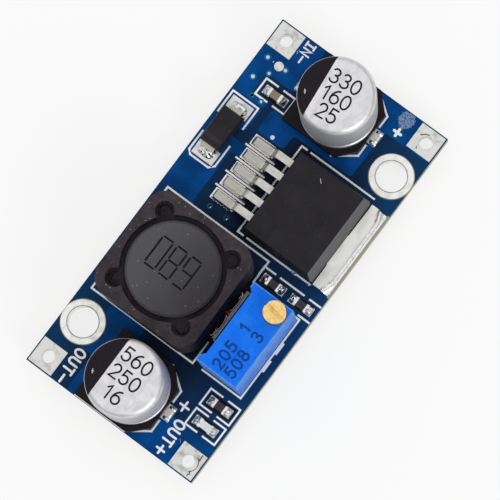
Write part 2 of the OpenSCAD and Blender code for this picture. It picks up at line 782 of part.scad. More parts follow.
// Copper coil on the post. Each end runs out over the flange, down and under the shield to the lip of its
// terminal.
module choke_winding() {
    c = [choke_x, choke_y];
    low = choke_floor + flange_t;
    down_y = (core_d + bore_d)/4;
    wire_z = choke_floor + wire_notch/2;
    over_z = low + wire_end_d/2;
    color("chocolate") union() {
        difference() {
            post(c, coil_d, low, choke_top - core_drop - flange_t);
            post(c, post_d, low - cut, choke_top);
        }
        for (s = [-1, 1]) {
            translate([c.x, c.y, over_z]) rotate([-90*s, 0, 0])
                translate([0, 0, coil_d/2 - 0.4]) cylinder(d = wire_end_d, h = down_y - coil_d/2 + 0.4);
            post(c + [0, s*down_y], wire_end_d, wire_z, over_z + wire_end_d/2);
            translate([c.x, c.y, wire_z]) rotate([-90*s, 0, 0])
                translate([0, 0, down_y]) cylinder(d = wire_end_d, h = terminal_y - clip_lip - down_y);
        }
    }
}

// Square with round corners, seen from above
module round_square(side, r) {
    union() {
        square([side - 2*r, side], center = true);
        square([side, side - 2*r], center = true);
        for (x = [-1, 1], y = [-1, 1]) translate([x*(side/2 - r), y*(side/2 - r)]) circle(r);
    }
}

// The opening of the shield, seen from above: a round bore with four corner pockets
module shield_opening() {
    circle(d = bore_d);
    for (a = [45:90:315]) rotate(a) translate([lobe_at, 0]) circle(lobe_r);
}

// Ferrite shield with a notch for each end of the wire
module choke_shield() {
    color([0.23, 0.21, 0.22])
    translate([choke_x, choke_y, choke_floor]) difference() {
        linear_extrude(choke_top - choke_floor) difference() {
            round_square(choke_s, choke_corner_r);
            shield_opening();
        }
        translate([-wire_notch/2, -choke_s, -cut]) cube([wire_notch, 2*choke_s, wire_notch + cut]);
    }
}

// Base plate under the shield and core, with a tongue on each side for a terminal
module choke_base() {
    c = [choke_x, choke_y];
    color([0.14, 0.12, 0.12])
    difference() {
        union() {
            translate([choke_x, choke_y, land_z]) linear_extrude(choke_base_t)
                round_square(choke_s, choke_corner_r);
            slab(c, [tongue_w, choke_s + 2*tongue_out], land_z, choke_floor);
        }
        choke_terminals();
    }
}

// Each terminal is one folded strip: under the base, up its outer face and over its tongue
module choke_terminals() {
    w = tongue_w - 0.6;
    color("silver")
    for (s = [-1, 1]) translate([choke_x - w/2, choke_y, land_z]) mirror([0, s < 0 ? 1 : 0, 0])
        rotate([90, 0, 90]) linear_extrude(w)
            polygon([[terminal_y - clip_reach, 0], [terminal_y, 0], [terminal_y, choke_base_t + clip_t],
                [terminal_y - clip_lip, choke_base_t + clip_t], [terminal_y - clip_lip, choke_base_t],
                [terminal_y - clip_t, choke_base_t], [terminal_y - clip_t, clip_t],
                [terminal_y - clip_reach, clip_t]]);
}

// Adhesive in the four corner pockets bridges the gap and holds the core in the shield
module choke_adhesive() {
    color([0.08, 0.06, 0.06])
    translate([choke_x, choke_y, choke_top - adhesive_drop - adhesive_t])
    linear_extrude(adhesive_t) difference() {
        intersection() {
            shield_opening();
            for (a = [45:90:315]) rotate(a) translate([0, -lobe_r]) square([choke_s, 2*lobe_r]);
        }
        circle(d = core_d);
    }
}

// Moves a shape from the trimmer's own frame to its place on the board
module on_trimmer() {
    translate([trim_x, trim_y, board_t]) children();
}

// Round bar along Y in the trimmer's frame, about the axis of the wiper wheel
module wheel_bar(d, y0, y1) {
    translate([wheel_x, y1, wheel_z]) rotate([90, 0, 0]) cylinder(d = d, h = y1 - y0);
}

// The space of the open panel between the two end ribs of the housing, whose inner sides slant
module panel(h, rib) {
    x = h.x - rib;
    y = -h.y + panel_depth;
    translate([0, 0, -cut]) linear_extrude(trim_h + 2*cut)
        polygon([[-x, -h.y - cut], [x, -h.y - cut], [x, -h.y], [x - panel_depth, y],
            [-x + panel_depth, y], [-x, -h.y]]);
}

module trimmer_housing() {
    h = [trim_l/2, trim_w/2];
    inner = [h.x - trim_wall, h.y - trim_wall];
    front_wall = trim_wall + panel_depth;
    rib = 0.6;
    color("dodgerblue")
    on_trimmer() difference() {
        union() {
            difference() {
                box([-h.x, -h.y, trim_foot], [h.x, h.y, trim_h]);
                box([-inner.x, -h.y + front_wall, trim_foot - cut], [inner.x, inner.y, cavity_top]);
            }
            for (x = [-1, 1], y = [-1, 1])
                slab([x*(h.x - rib/2), y*(h.y - trim_wall/2)], [rib, trim_wall], 0, trim_foot + 0.1);
            wheel_bar(pivot_d, wheel_front, h.y);
            wheel_bar(pivot_d + 1, wheel_front + wheel_t + run_gap, h.y);
        }
        panel(h, rib);
        post([screw_x, screw_y], screw_d + 2*run_gap, trim_h - head_in - seal_t, trim_h + cut);
        post([screw_x, screw_y], neck_d + 2*run_gap, cavity_top - cut, trim_h);
    }
}

// Thread of one start: a round section whose middle travels round the axis, crest towards +X at z = 0
module thread(length, pitch, r, depth) {
    sides = 12;
    steps = ceil(8*length/pitch);
    ring = [for (i = [0:steps], j = [0:sides - 1])
        let (z = length*(i/steps - 0.5), a = 360*z/pitch, b = 360*j/sides)
            [depth*cos(a) + r*cos(b), depth*sin(a) + r*sin(b), z]];
    walls = [for (i = [0:steps - 1], j = [0:sides - 1])
        let (a = i*sides + j, b = i*sides + (j + 1) % sides)
            each [[a, a + sides, b], [b, a + sides, b + sides]]];
    ends = [[for (j = [0:sides - 1]) j], [for (j = [sides - 1:-1:0]) steps*sides + j]];
    polyhedron(ring, concat(walls, ends));
}

// Brass screw: slotted head, neck, thread that drives the wheel, and a pivot in the potting
module trimmer_screw() {
    c = [screw_x, screw_y];
    root_d = 2*(worm_r - thread_depth);
    color("gold")
    on_trimmer() union() {
        difference() {
            post(c, screw_d, trim_h - head_in, trim_h + screw_out);
            translate([c.x, c.y, trim_h + screw_out]) rotate(slot_turn)
                cube([2*screw_d, slot_w, 2*slot_depth], center = true);
        }
        post(c, neck_d, cavity_top - run_gap, trim_h - head_in + 0.1);
        post(c, 2*(worm_r + thread_depth), cavity_top - 0.4, cavity_top - run_gap);
        post(c, root_d, potting_top - potting_t/2 + run_gap, cavity_top - 0.3);
        translate([c.x, c.y, wheel_z]) thread(worm_l, thread_pitch, worm_r, thread_depth);
    }
}

// Rubber ring under the head of the screw
module trimmer_seal() {
    color([0.1, 0.1, 0.1])
    on_trimmer() difference() {
        post([screw_x, screw_y], screw_d + 2*run_gap, trim_h - head_in - seal_t, trim_h - head_in - run_gap);
        post([screw_x, screw_y], neck_d + 2*run_gap, trim_h - 2, trim_h);
    }
}

// Toothed wheel: the rim follows the thread, with a hollow between teeth facing the screw at rest
module trimmer_wheel() {
    steps = 6*wheel_teeth;
    color("ivory")
    on_trimmer() difference() {
        translate([wheel_x, wheel_front + wheel_t, wheel_z]) rotate([90, 0, 0]) linear_extrude(wheel_t)
            polygon([for (i = [0:steps - 1]) let (a = 180 + 360*i/steps)
                (wheel_r - thread_depth*cos(wheel_teeth*360*i/steps))*[cos(a), sin(a)]]);
        wheel_bar(pivot_d + 2*run_gap, wheel_front - cut, trim_w);
    }
}

// Spring contact on the wheel: a washer, an arm and a finger that reaches the ceramic element
module trimmer_wiper() {
    y0 = wheel_front - wiper_t;
    x = [wheel_x - wiper_w/2, wheel_x + wiper_w/2];
    tip = wheel_z + wiper_reach;
    color("goldenrod")
    on_trimmer() difference() {
        union() {
            wheel_bar(wiper_d, y0, wheel_front);
            box([x[0], y0, wheel_z], [x[1], wheel_front, tip]);
            box([x[0], element_face + run_gap, tip - wiper_w/2], [x[1], wheel_front, tip]);
        }
        wheel_bar(pivot_d + 2*run_gap, -trim_w, trim_w);
    }
}

// Ceramic plate with the resistive track, held by the potting and standing on the pins' side
module trimmer_element() {
    side = trim_l/2 - trim_wall - 0.3;
    color("whitesmoke")
    on_trimmer() box([-side, element_face - element_t, potting_top], [side, element_face, cavity_top]);
}

// Three pins: round through the board, square where they meet the ceramic element
module trimmer_pins() {
    color("silver")
    for (p = pin_at) union() {
        post(p, pin_d, -pin_out, board_t + trim_foot + 0.2);
        slab(p, [pin_d, pin_d], board_t + trim_foot + 0.1, board_t + pin_top);
    }
}

module trimmer_potting() {
    h = [trim_l/2, trim_w/2];
    color([0.25, 0.3, 0.4])
    difference() {
        on_trimmer() difference() {
            box([-h.x + trim_wall, -h.y + trim_wall + panel_depth, trim_foot],
                [h.x - trim_wall, h.y - trim_wall, potting_top]);
            post([screw_x, screw_y], 2*(worm_r - thread_depth + run_gap),
                potting_top - potting_t/2, potting_top + cut);
        }
        trimmer_pins();
    }
}

// Middle part of a chip part between its terminals
module chip_body(c, t) {
    slab(c, [chip_w, chip_l - 2*chip_end_t], land_z + chip_end_t, land_z + t - chip_end_t);
}

// Metal cap over each end of a chip part
module chip_ends(c, t) {
    difference() {
        for (s = [-1, 1]) slab(c + [0, s*(chip_l - chip_end)/2],
            [chip_w + 2*chip_end_t, chip_end], land_z, land_z + t);
        chip_body(c, t);
    }
}

module ceramic_capacitor() {
    color("tan") chip_body(ceramic_at, ceramic_t);
}

module resistor(c) {
    color([0.15, 0.13, 0.13]) chip_body(c, resistor_t);
}

module divider_resistor_inner() { resistor(inner_at); }
module divider_resistor_outer() { resistor(outer_at); }
module led_resistor() { resistor(led_resistor_at); }

module led_base() {
    color("honeydew")
    slab(led_at, [chip_w, chip_l - 2*chip_end_t], land_z + chip_end_t, land_z + led_t/2);
}

module led_lens() {
    color("palegreen")
    slab(led_at, [chip_w, chip_l - 2*chip_end], land_z + led_t/2, land_z + led_t);
}

module chip_terminals() {
    color("silver") {
        chip_ends(ceramic_at, ceramic_t);
        for (p = [inner_at, outer_at, led_resistor_at]) chip_ends(p, resistor_t);
        difference() {
            for (s = [-1, 1]) slab(led_at + [0, s*(chip_l - chip_end)/2],
                [chip_w + 2*chip_end_t, chip_end], land_z, land_z + led_t/2 + chip_end_t);
            led_base();
        }
    }
}

// A fillet of solder w wide: it stands h high against a face and runs out l along +X
module fillet(w, h, l) {
    translate([0, w/2, 0]) rotate([90, 0, 0]) linear_extrude(w)
        polygon([[0, 0], [l, 0], [l*0.45, h*0.35], [0, h]]);
}

// A fillet at c that runs out towards the angle a
module fillet_at(c, a, w, h, l) {
    translate([c.x, c.y, land_z]) rotate(a) fillet(w, h, l);
}

module solder_capacitors() {
    color("silver")
    for (side = [-1, 1], s = [-1, 1])
        fillet_at([side*cap_x, can_y + s*(base_s/2 + cap_lead_out)], 90*s, cap_lead_w,
            cap_lead_t, cap_land_out - cap_lead_out);
}

module solder_regulator() {
    color("silver") {
        for (i = [0:lead_count - 1])
            fillet_at([lead_x(i), reg_front - lead_reach], -90, lead_w, lead_t/2, lead_land_out);
        fillet_at([reg_x, reg_back + tab_out], 90, reg_w - 2.4, tab_t/2, tab_land_out);
    }
}

module solder_diode() {
    color("silver")
    for (s = [-1, 1])
        fillet_at([diode_x + s*(diode_l/2 + diode_lead_gap + diode_lead_t), diode_y], s < 0 ? 180 : 0,
            diode_lead_w, diode_h/3, 1);
}

module solder_inductor() {
    color("silver")
    for (s = [-1, 1])
        fillet_at([choke_x, choke_y + s*terminal_y], 90*s, tongue_w - 0.6, 0.4, choke_land_out);
}

module solder_chips() {
    reach = chip_land_out - chip_l/2;
    color("silver")
    for (s = [-1, 1]) {
        fillet_at(ceramic_at + [0, s*chip_l/2], 90*s, chip_w, ceramic_t*0.6, reach);
        for (p = [inner_at, outer_at, led_resistor_at])
            fillet_at(p + [0, s*chip_l/2], 90*s, chip_w, resistor_t*0.8, reach);
        fillet_at(led_at + [0, s*chip_l/2], 90*s, chip_w, led_t*0.5, reach);
    }
}

// Solder fills each plated hole around its pin and stands as a cone below the board
module solder_trimmer() {
    cone = 0.7;
    color("silver")
    difference() {
        for (p = pin_at) union() {
            post(p, pin_hole_d, -foil_t, board_t);
            translate([p.x, p.y, -foil_t - cone])
                cylinder(d1 = pin_d + 0.1, d2 = pin_pad_d - 0.1, h = cone);
        }
        for (p = pin_at) post(p, pin_d, -pin_out - cut, board_t + cut);
    }
}

circuit_board();
wire_pad_in_minus();
wire_pad_in_plus();
wire_pad_out_minus();
wire_pad_out_plus();
mounting_ring_in();
mounting_ring_out();
pin_pads();
copper_lands();
vias();
board_legend();
input_can();
input_can_mark();
input_can_base();
input_can_leads();
output_can();
output_can_mark();
output_can_base();
output_can_leads();
regulator_body();
regulator_tab();
regulator_leads();
regulator_die();
diode_body();
diode_leads();
diode_band();
choke_core();
choke_winding();
choke_shield();
choke_base();
choke_terminals();
choke_adhesive();
trimmer_housing();
trimmer_screw();
trimmer_seal();
trimmer_wheel();
trimmer_wiper();
trimmer_element();
trimmer_pins();
trimmer_potting();
ceramic_capacitor();
divider_resistor_inner();
divider_resistor_outer();
led_resistor();
led_base();
led_lens();
chip_terminals();
solder_capacitors();
solder_regulator();
solder_diode();
solder_inductor();
solder_chips();
solder_trimmer();
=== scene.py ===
import math
import random

import bpy
from mathutils import Matrix, Vector, noise
from mathutils.geometry import tessellate_polygon


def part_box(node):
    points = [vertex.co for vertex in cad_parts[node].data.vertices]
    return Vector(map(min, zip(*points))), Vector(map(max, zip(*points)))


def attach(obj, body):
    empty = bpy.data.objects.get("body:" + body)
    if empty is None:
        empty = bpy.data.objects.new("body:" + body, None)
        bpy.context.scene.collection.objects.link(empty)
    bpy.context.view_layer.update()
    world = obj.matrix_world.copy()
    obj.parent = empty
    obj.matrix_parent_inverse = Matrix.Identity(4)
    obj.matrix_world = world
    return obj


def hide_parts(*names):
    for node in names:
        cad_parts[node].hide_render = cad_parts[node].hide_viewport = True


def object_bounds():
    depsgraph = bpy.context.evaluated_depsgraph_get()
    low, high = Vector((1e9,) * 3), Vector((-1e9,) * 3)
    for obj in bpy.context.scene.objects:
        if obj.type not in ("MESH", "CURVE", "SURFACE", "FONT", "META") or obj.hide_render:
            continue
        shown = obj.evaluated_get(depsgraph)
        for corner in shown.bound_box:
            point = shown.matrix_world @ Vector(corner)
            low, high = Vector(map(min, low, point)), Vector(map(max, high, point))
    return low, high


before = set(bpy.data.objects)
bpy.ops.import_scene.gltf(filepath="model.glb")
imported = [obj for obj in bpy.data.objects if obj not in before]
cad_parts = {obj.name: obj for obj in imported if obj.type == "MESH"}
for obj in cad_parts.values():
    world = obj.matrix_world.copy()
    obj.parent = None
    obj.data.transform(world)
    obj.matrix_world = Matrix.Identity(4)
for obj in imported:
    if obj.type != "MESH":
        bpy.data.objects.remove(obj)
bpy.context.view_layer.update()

MM = 0.001
BOARD = "board"


# ---------------------------------------------------------------- the frame, in millimetres

class Box:
    """The box of a CAD node: its lowest and highest corner, its middle and its size."""

    def __init__(self, node):
        lo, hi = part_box(node)
        self.lo = Vector(lo)/MM
        self.hi = Vector(hi)/MM
        self.mid = (self.lo + self.hi)/2
        self.size = self.hi - self.lo


board = Box("circuit_board")
TOP = board.hi.z
LEAD_WIDTH = 0.8
TAB_THICKNESS = 1.3
POCKET_RADIUS = 1.0
RING_WIDTH = 0.7
LAND = Box("copper_lands").hi.z
INK_TOP = Box("board_legend").hi.z


# ---------------------------------------------------------------- finishes

def rgb(r, g, b):
    """A colour written as it shows on the screen, 0 to 255, as the linear colour that shaders take."""
    def linear(v):
        v = v/255
        return v/12.92 if v <= 0.04045 else ((v + 0.055)/1.055)**2.4
    return (linear(r), linear(g), linear(b), 1)


class Finish:
    """A material in the making. Its textures are laid out in millimetres on the object's own coordinates."""

    def __init__(self, name, colour, roughness, metallic=0.0, specular=0.5, **sockets):
        self.material = bpy.data.materials.new(name)
        self.material.use_nodes = True
        self.tree = self.material.node_tree
        self.shader = self.tree.nodes["Principled BSDF"]
        self.shader.inputs["Base Color"].default_value = colour
        self.shader.inputs["Roughness"].default_value = roughness
        self.shader.inputs["Metallic"].default_value = metallic
        self.shader.inputs["Specular IOR Level"].default_value = specular
        for socket, value in sockets.items():
            self.shader.inputs[socket.replace("_", " ").title()].default_value = value
        coordinates = self.node("ShaderNodeTexCoord")
        scale = self.node("ShaderNodeVectorMath", operation="SCALE")
        scale.inputs["Scale"].default_value = 1/MM
        self.link(coordinates.outputs["Object"], scale.inputs[0])
        self.place = scale.outputs[0]

    def node(self, kind, **settings):
        made = self.tree.nodes.new(kind)
        for key, value in settings.items():
            setattr(made, key, value)
        return made

    def link(self, output, socket):
        self.tree.links.new(output, socket)

    def put(self, value, socket):
        """Gives a socket either another node's output or a constant."""
        if isinstance(value, bpy.types.NodeSocket):
            self.link(value, socket)
        else:
            socket.default_value = value

    def noise(self, size, detail=2.0, stretch=(1, 1, 1), seed=0.0, warp=0.0):
        """Soft noise whose lumps are about size millimetres across, from 0 to 1."""
        mapping = self.node("ShaderNodeMapping")
        mapping.inputs["Scale"].default_value = [1/(size*s) for s in stretch]
        mapping.inputs["Location"].default_value = (seed, seed/2, -seed)
        self.link(self.place, mapping.inputs["Vector"])
        texture = self.node("ShaderNodeTexNoise")
        texture.inputs["Scale"].default_value = 1
        texture.inputs["Detail"].default_value = detail
        texture.inputs["Distortion"].default_value = warp
        self.link(mapping.outputs["Vector"], texture.inputs["Vector"])
        return texture.outputs["Fac"]

    def specks(self, size, seed=0.0):
        """Distance to the nearest of many scattered points, in steps of size millimetres."""
        mapping = self.node("ShaderNodeMapping")
        mapping.inputs["Scale"].default_value = (1/size, 1/size, 1/size)
        mapping.inputs["Location"].default_value = (seed, seed, seed)
        self.link(self.place, mapping.inputs["Vector"])
        texture = self.node("ShaderNodeTexVoronoi")
        texture.inputs["Scale"].default_value = 1
        self.link(mapping.outputs["Vector"], texture.inputs["Vector"])
        return texture.outputs["Distance"]

    def axis(self, letter):
        """One coordinate in millimetres."""
        split = self.node("ShaderNodeSeparateXYZ")
        self.link(self.place, split.inputs[0])
        return split.outputs["XYZ".index(letter)]

    def facing(self, letter):
        """How far the surface faces along one axis, from -1 to 1."""
        geometry = self.node("ShaderNodeNewGeometry")
        split = self.node("ShaderNodeSeparateXYZ")
        self.link(geometry.outputs["Normal"], split.inputs[0])
        return split.outputs["XYZ".index(letter)]

    def math(self, operation, a, b=0.0):
        made = self.node("ShaderNodeMath", operation=operation)
        self.put(a, made.inputs[0])
        self.put(b, made.inputs[1])
        return made.outputs[0]

    def span(self, value, a, b, low=0.0, high=1.0):
        """Maps a to low and b to high, in a straight line between them, and holds the ends."""
        made = self.node("ShaderNodeMapRange")
        self.put(value, made.inputs["Value"])
        made.inputs["From Min"].default_value = a
        made.inputs["From Max"].default_value = b
        made.inputs["To Min"].default_value = low
        made.inputs["To Max"].default_value = high
        return made.outputs["Result"]

    def mix(self, factor, a, b):
        made = self.node("ShaderNodeMix", data_type="RGBA")
        self.put(factor, made.inputs[0])
        self.put(a, made.inputs[6])
        self.put(b, made.inputs[7])
        return made.outputs[2]

    def mix_value(self, factor, a, b):
        made = self.node("ShaderNodeMix", data_type="FLOAT")
        self.put(factor, made.inputs[0])
        self.put(a, made.inputs[2])
        self.put(b, made.inputs[3])
        return made.outputs[0]

    def colour(self, output):
        self.link(output, self.shader.inputs["Base Color"])

    def roughness(self, output):
        self.link(output, self.shader.inputs["Roughness"])

    def bump(self, height, depth):
        """Raises the surface by up to depth millimetres. Each call lies over the one before."""
        made = self.node("ShaderNodeBump")
        made.inputs["Distance"].default_value = depth*MM
        self.link(height, made.inputs["Height"])
        normal = self.shader.inputs["Normal"]
        if normal.is_linked:
            self.link(normal.links[0].from_socket, made.inputs["Normal"])
        self.link(made.outputs["Normal"], normal)


def solder_mask(name, colour, seed):
    """Glossy blue lacquer: cloudy depth, faint orange peel, and the laminate's tan core at a cut edge."""
    f = Finish(name, rgb(*colour), 0.32, specular=0.04)
    cloud = f.noise(2.5, 3, seed=seed)
    grain = f.noise(0.12, 2, seed=seed)
    light = [min(255, c*1.12 + 2) for c in colour]
    dark = [c*0.88 for c in colour]
    lacquer = f.mix(f.span(cloud, 0.35, 0.65), rgb(*dark), rgb(*light))
    if name == "blue_board":
        # Brighter blue towards the two long edges: partly copper under the lacquer, and partly painted shade over the
        # middle of the board, where the tall parts stand
        out = f.math("ADD", f.math("ABSOLUTE", f.axis("Y")), f.span(cloud, 0.3, 0.7, -1.2, 1.2))
        lacquer = f.mix(f.span(out, 0.5, 10.5), lacquer, rgb(14, 60, 104))
    lacquer = f.mix(f.span(grain, 0.55, 0.85, 0, 0.1), lacquer, rgb(50, 105, 165))
    if name == "blue_board":
        lacquer = f.mix(bare_strip(f), lacquer, rgb(160, 158, 144))
    fibre = f.mix(f.span(f.noise(0.25, 3, stretch=(4, 4, 0.5)), 0.35, 0.7), rgb(150, 150, 118), rgb(205, 200, 172))
    if name != "blue_board":
        fibre = rgb(*dark)
    cut_edge = f.span(f.math("ABSOLUTE", f.facing("Z")), 0.3, 0.6)
    f.colour(f.mix(cut_edge, fibre, lacquer))
    f.roughness(f.span(cut_edge, 0, 1, 0.8, 0.3))
    f.bump(f.noise(0.35, 2, seed=seed + 4), 0.006)
    f.bump(grain, 0.002)
    return f.material


def bare_strip(f):
    """Where the lacquer stops short of the long edge, beside the solder of the regulator's tab."""
    tab = Box("regulator_tab")
    ragged = f.span(f.noise(0.3, 3, seed=6), 0, 1, -0.06, 0.06)
    edge = f.span(f.math("ADD", f.axis("Y"), ragged), board.hi.y - 0.28, board.hi.y - 0.22)
    along = f.math("ABSOLUTE", f.math("SUBTRACT", f.axis("X"), tab.mid.x))
    return f.math("MULTIPLY", edge, f.span(along, tab.size.x/2 + 0.1, tab.size.x/2 + 0.2, 1, 0))


def tinned(name, colour=(226, 226, 224), roughness=0.32, lump=0.5, depth=0.012, tone_drift=0.3):
    """Hot-tinned copper: bright, a little uneven, with dull smudges."""
    f = Finish(name, rgb(*colour), roughness, metallic=1.0)
    smudge = f.noise(0.9, 4, seed=3, warp=0.6)
    fine = f.noise(0.16, 3, seed=8)
    dull = [c*0.8 for c in colour]
    base = f.mix(f.span(smudge, 0.5, 0.68, 0, tone_drift), rgb(*colour), rgb(*dull))
    f.colour(f.mix(f.span(fine, 0.64, 0.8, 0, 0.25), base, rgb(*[c*0.66 for c in colour])))
    f.roughness(f.span(smudge, 0.35, 0.7, roughness*0.8, roughness*1.5))
    f.bump(f.noise(lump, 2, seed=5), depth)
    f.bump(fine, depth/6)
    return f.material


def legend_ink():
    f = Finish("legend_ink", rgb(255, 255, 255), 0.6, specular=0.2)
    worn = f.noise(0.22, 3)
    f.colour(f.mix(f.span(worn, 0.66, 0.9, 0, 0.3), rgb(255, 255, 255), rgb(176, 196, 222)))
    f.bump(f.noise(0.1, 2), 0.004)
    return f.material


def can_aluminium():
    """Drawn aluminium: satin and softly mottled on top, duller and drawn in upright streaks on the wall."""
    f = Finish("can_aluminium", rgb(232, 232, 232), 0.36, metallic=1.0)
    mottle = f.noise(1.1, 4, seed=2, warp=0.8)
    fine = f.noise(0.18, 3, seed=6)
    base = f.mix(f.span(mottle, 0.38, 0.68), rgb(236, 235, 238), rgb(216, 216, 219))
    draw = f.noise(0.7, 3, stretch=(1, 1, 0.06), seed=9)
    side = f.mix(f.span(draw, 0.3, 0.7), rgb(196, 196, 199), rgb(166, 166, 170))
    upright = f.span(f.math("ABSOLUTE", f.facing("Z")), 0.05, 0.7)
    f.colour(f.mix(upright, side, base))
    f.link(f.span(upright, 0, 1, 0.35, 1), f.shader.inputs["Metallic"])
    f.roughness(f.mix_value(upright, 0.55, f.span(mottle, 0.3, 0.7, 0.32, 0.46)))
    f.bump(f.noise(0.6, 3, seed=12), 0.006)
    f.bump(fine, 0.0015)
    return f.material


def print_ink(name, colour, roughness=0.45, wear=0.35):
    """Stamped ink: even and dark, thinner in small spots."""
    f = Finish(name, rgb(*colour), roughness, specular=0.1)
    thin = f.noise(0.15, 3, seed=4)
    pale = [min(255, c + 34) for c in colour]
    f.colour(f.mix(f.span(thin, 0.55, 0.8, 0, wear), rgb(*colour), rgb(*pale)))
    f.roughness(f.span(f.noise(0.5, 2, seed=7), 0.3, 0.7, roughness*0.75, roughness*1.25))
    f.bump(thin, 0.002)
    return f.material


def moulded(name, colour, light, roughness=0.5, specular=0.3, grain=0.09, depth=0.004, specks=0.0):
    """Moulded plastic, epoxy or ferrite: fine grain, slow drift of tone, and bright dust where specks is above 0."""
    f = Finish(name, rgb(*colour), roughness, specular=specular)
    tone = f.noise(1.8, 3, seed=3)
    fine = f.noise(grain, 3, seed=5)
    body = f.mix(f.span(tone, 0.3, 0.7), rgb(*colour), rgb(*light))
    body = f.mix(f.span(fine, 0.5, 0.85, 0, 0.3), body, rgb(*[min(255, c*1.5 + 8) for c in light]))
    if specks:
        dust = f.span(f.specks(0.62, seed=1.7), 0.06, 0.11, specks, 0)
        body = f.mix(dust, body, rgb(178, 172, 170))
    f.colour(body)
    f.roughness(f.span(fine, 0.25, 0.75, roughness*0.85, min(1, roughness*1.2)))
    f.bump(fine, depth)
    f.bump(f.noise(0.9, 2, seed=15), depth)
    return f.material


LEAD_TIN = (224, 223, 216)
LEAD_FOOT = (168, 168, 158)


def formed_lead(name, colour=LEAD_TIN, speckle=0.35):
    """Tin-plated lead frame: satin, drawn along its length, speckled by the solder bath."""
    f = Finish(name, rgb(*colour), 0.3, metallic=1.0)
    along = f.noise(0.14, 3, stretch=(1, 7, 2), seed=2)
    dots = f.noise(0.08, 2, seed=9)
    base = f.mix(f.span(along, 0.35, 0.7), rgb(*colour), rgb(*[c*0.88 for c in colour]))
    base = f.mix(f.span(dots, 0.5, 0.66, 0, speckle), base, rgb(*[c*0.66 for c in colour]))
    if name == "tinned_lead":
        base = f.mix(lead_foot(f), base, rgb(*LEAD_FOOT))
    f.colour(base)
    f.roughness(f.span(dots, 0.3, 0.7, 0.24, 0.45))
    f.bump(along, 0.004)
    return f.material


def wet_solder(name, colour=(240, 240, 240)):
    """Reflowed solder: mirror-like between frosty patches."""
    f = Finish(name, rgb(*colour), 0.16, metallic=1.0)
    frost = f.noise(0.3, 4, seed=11, warp=0.5)
    f.colour(f.mix(f.span(frost, 0.5, 0.75), rgb(*colour), rgb(*[c*0.84 for c in colour])))
    f.roughness(f.span(frost, 0.4, 0.65, 0.16, 0.38))
    f.bump(f.noise(0.22, 2, seed=1), 0.01)
    return f.material


def regulator_tab():
    """Tinned copper plate, worn brown at the two cut corners and along its outer edge. Its lead is duller."""
    f = Finish("tab_metal", rgb(226, 226, 222), 0.34, metallic=1.0)
    cloud = f.noise(1.2, 4, stretch=(2, 1, 1), seed=4, warp=0.4)
    long_noise = f.noise(0.22, 3, stretch=(6, 1, 1), seed=6)
    base = f.mix(f.span(cloud, 0.4, 0.7), rgb(232, 232, 229), rgb(214, 214, 211))
    tab = Box("regulator_tab")
    edge = f.span(f.axis("Y"), tab.hi.y - 0.14, tab.hi.y - 0.04, 0, 0.4)
    corner_x = f.math("ABSOLUTE", f.math("SUBTRACT", f.axis("X"), tab.mid.x))
    # A straight line from the side of the tab to its outer edge, a little inside each cut corner
    inward = f.math("ADD", f.axis("Y"), f.math("MULTIPLY", corner_x, 0.333))
    corner_line = tab.hi.y - 0.4 + tab.size.x/2*0.333
    corner = f.span(inward, corner_line - 0.3, corner_line - 0.12, 0, 1)
    corner = f.math("MULTIPLY", corner, f.span(corner_x, tab.size.x/2 - 1.6, tab.size.x/2 - 1.1))
    worn = f.math("MAXIMUM", edge, corner)
    scratch = f.math("MULTIPLY", worn, f.span(long_noise, 0.36, 0.56))
    plate = f.mix(f.math("MULTIPLY", scratch, 0.85), base, rgb(118, 98, 84))
    along = f.noise(0.14, 3, stretch=(1, 7, 2), seed=2)
    dots = f.noise(0.08, 2, seed=9)
    lead = f.mix(f.span(along, 0.35, 0.7), rgb(*LEAD_TIN), rgb(*[c*0.88 for c in LEAD_TIN]))
    lead = f.mix(f.span(dots, 0.5, 0.66, 0, 0.35), lead, rgb(*[c*0.66 for c in LEAD_TIN]))
    lead = f.mix(lead_foot(f), lead, rgb(*LEAD_FOOT))
    front = Box("regulator_body").lo.y
    on_lead = f.span(f.axis("Y"), front + 0.5, front + 0.6, 1, 0)
    f.colour(f.mix(on_lead, plate, lead))
    f.roughness(f.mix_value(on_lead, f.span(cloud, 0.35, 0.7, 0.28, 0.42), f.span(dots, 0.3, 0.7, 0.24, 0.45)))
    f.bump(long_noise, 0.004)
    return f.material


def lead_foot(f):
    """How much the solder has dulled and speckled a lead of the regulator: its foot, and not its shoulder."""
    foot_y = Box("regulator_leads").lo.y + 2.1
    return f.span(f.axis("Y"), foot_y - 0.1, foot_y + 0.1, 0.6, 0)


def enamelled_wire():
    """Coil of enamelled wire: each turn is a ridge along Z."""
    f = Finish("enamelled_wire", rgb(176, 92, 48), 0.3, metallic=0.85)
    turns = f.node("ShaderNodeTexWave", wave_type="BANDS", bands_direction="Z")
    turns.inputs["Scale"].default_value = 0.6
    f.link(f.place, turns.inputs["Vector"])
    f.colour(f.mix(f.span(f.noise(0.5, 3), 0.35, 0.7), rgb(176, 92, 48), rgb(120, 58, 30)))
    f.bump(turns.outputs["Fac"], 0.12)
    return f.material


def flux_and_shade():
    """What dries between the leads, brown flux with beads of solder and bare copper in it, with near-black patches that
    are painted shade between the leads.
    """
    f = Finish("flux_and_shade", rgb(60, 50, 40), 0.35, specular=0.3)
    patch = f.noise(0.22, 4, stretch=(1, 2, 1), seed=3, warp=0.6)
    bead = f.noise(0.1, 3, seed=8)
    # The near-black patches are painted shade between the leads
    base = f.mix(f.span(patch, 0.4, 0.56), rgb(16, 12, 16), rgb(66, 52, 38))
    base = f.mix(f.span(patch, 0.58, 0.72), base, rgb(140, 118, 80))
    f.colour(f.mix(f.span(bead, 0.6, 0.7), base, rgb(190, 184, 170)))
    f.roughness(f.span(bead, 0.3, 0.7, 0.2, 0.6))
    f.bump(bead, 0.02)
    return f.material


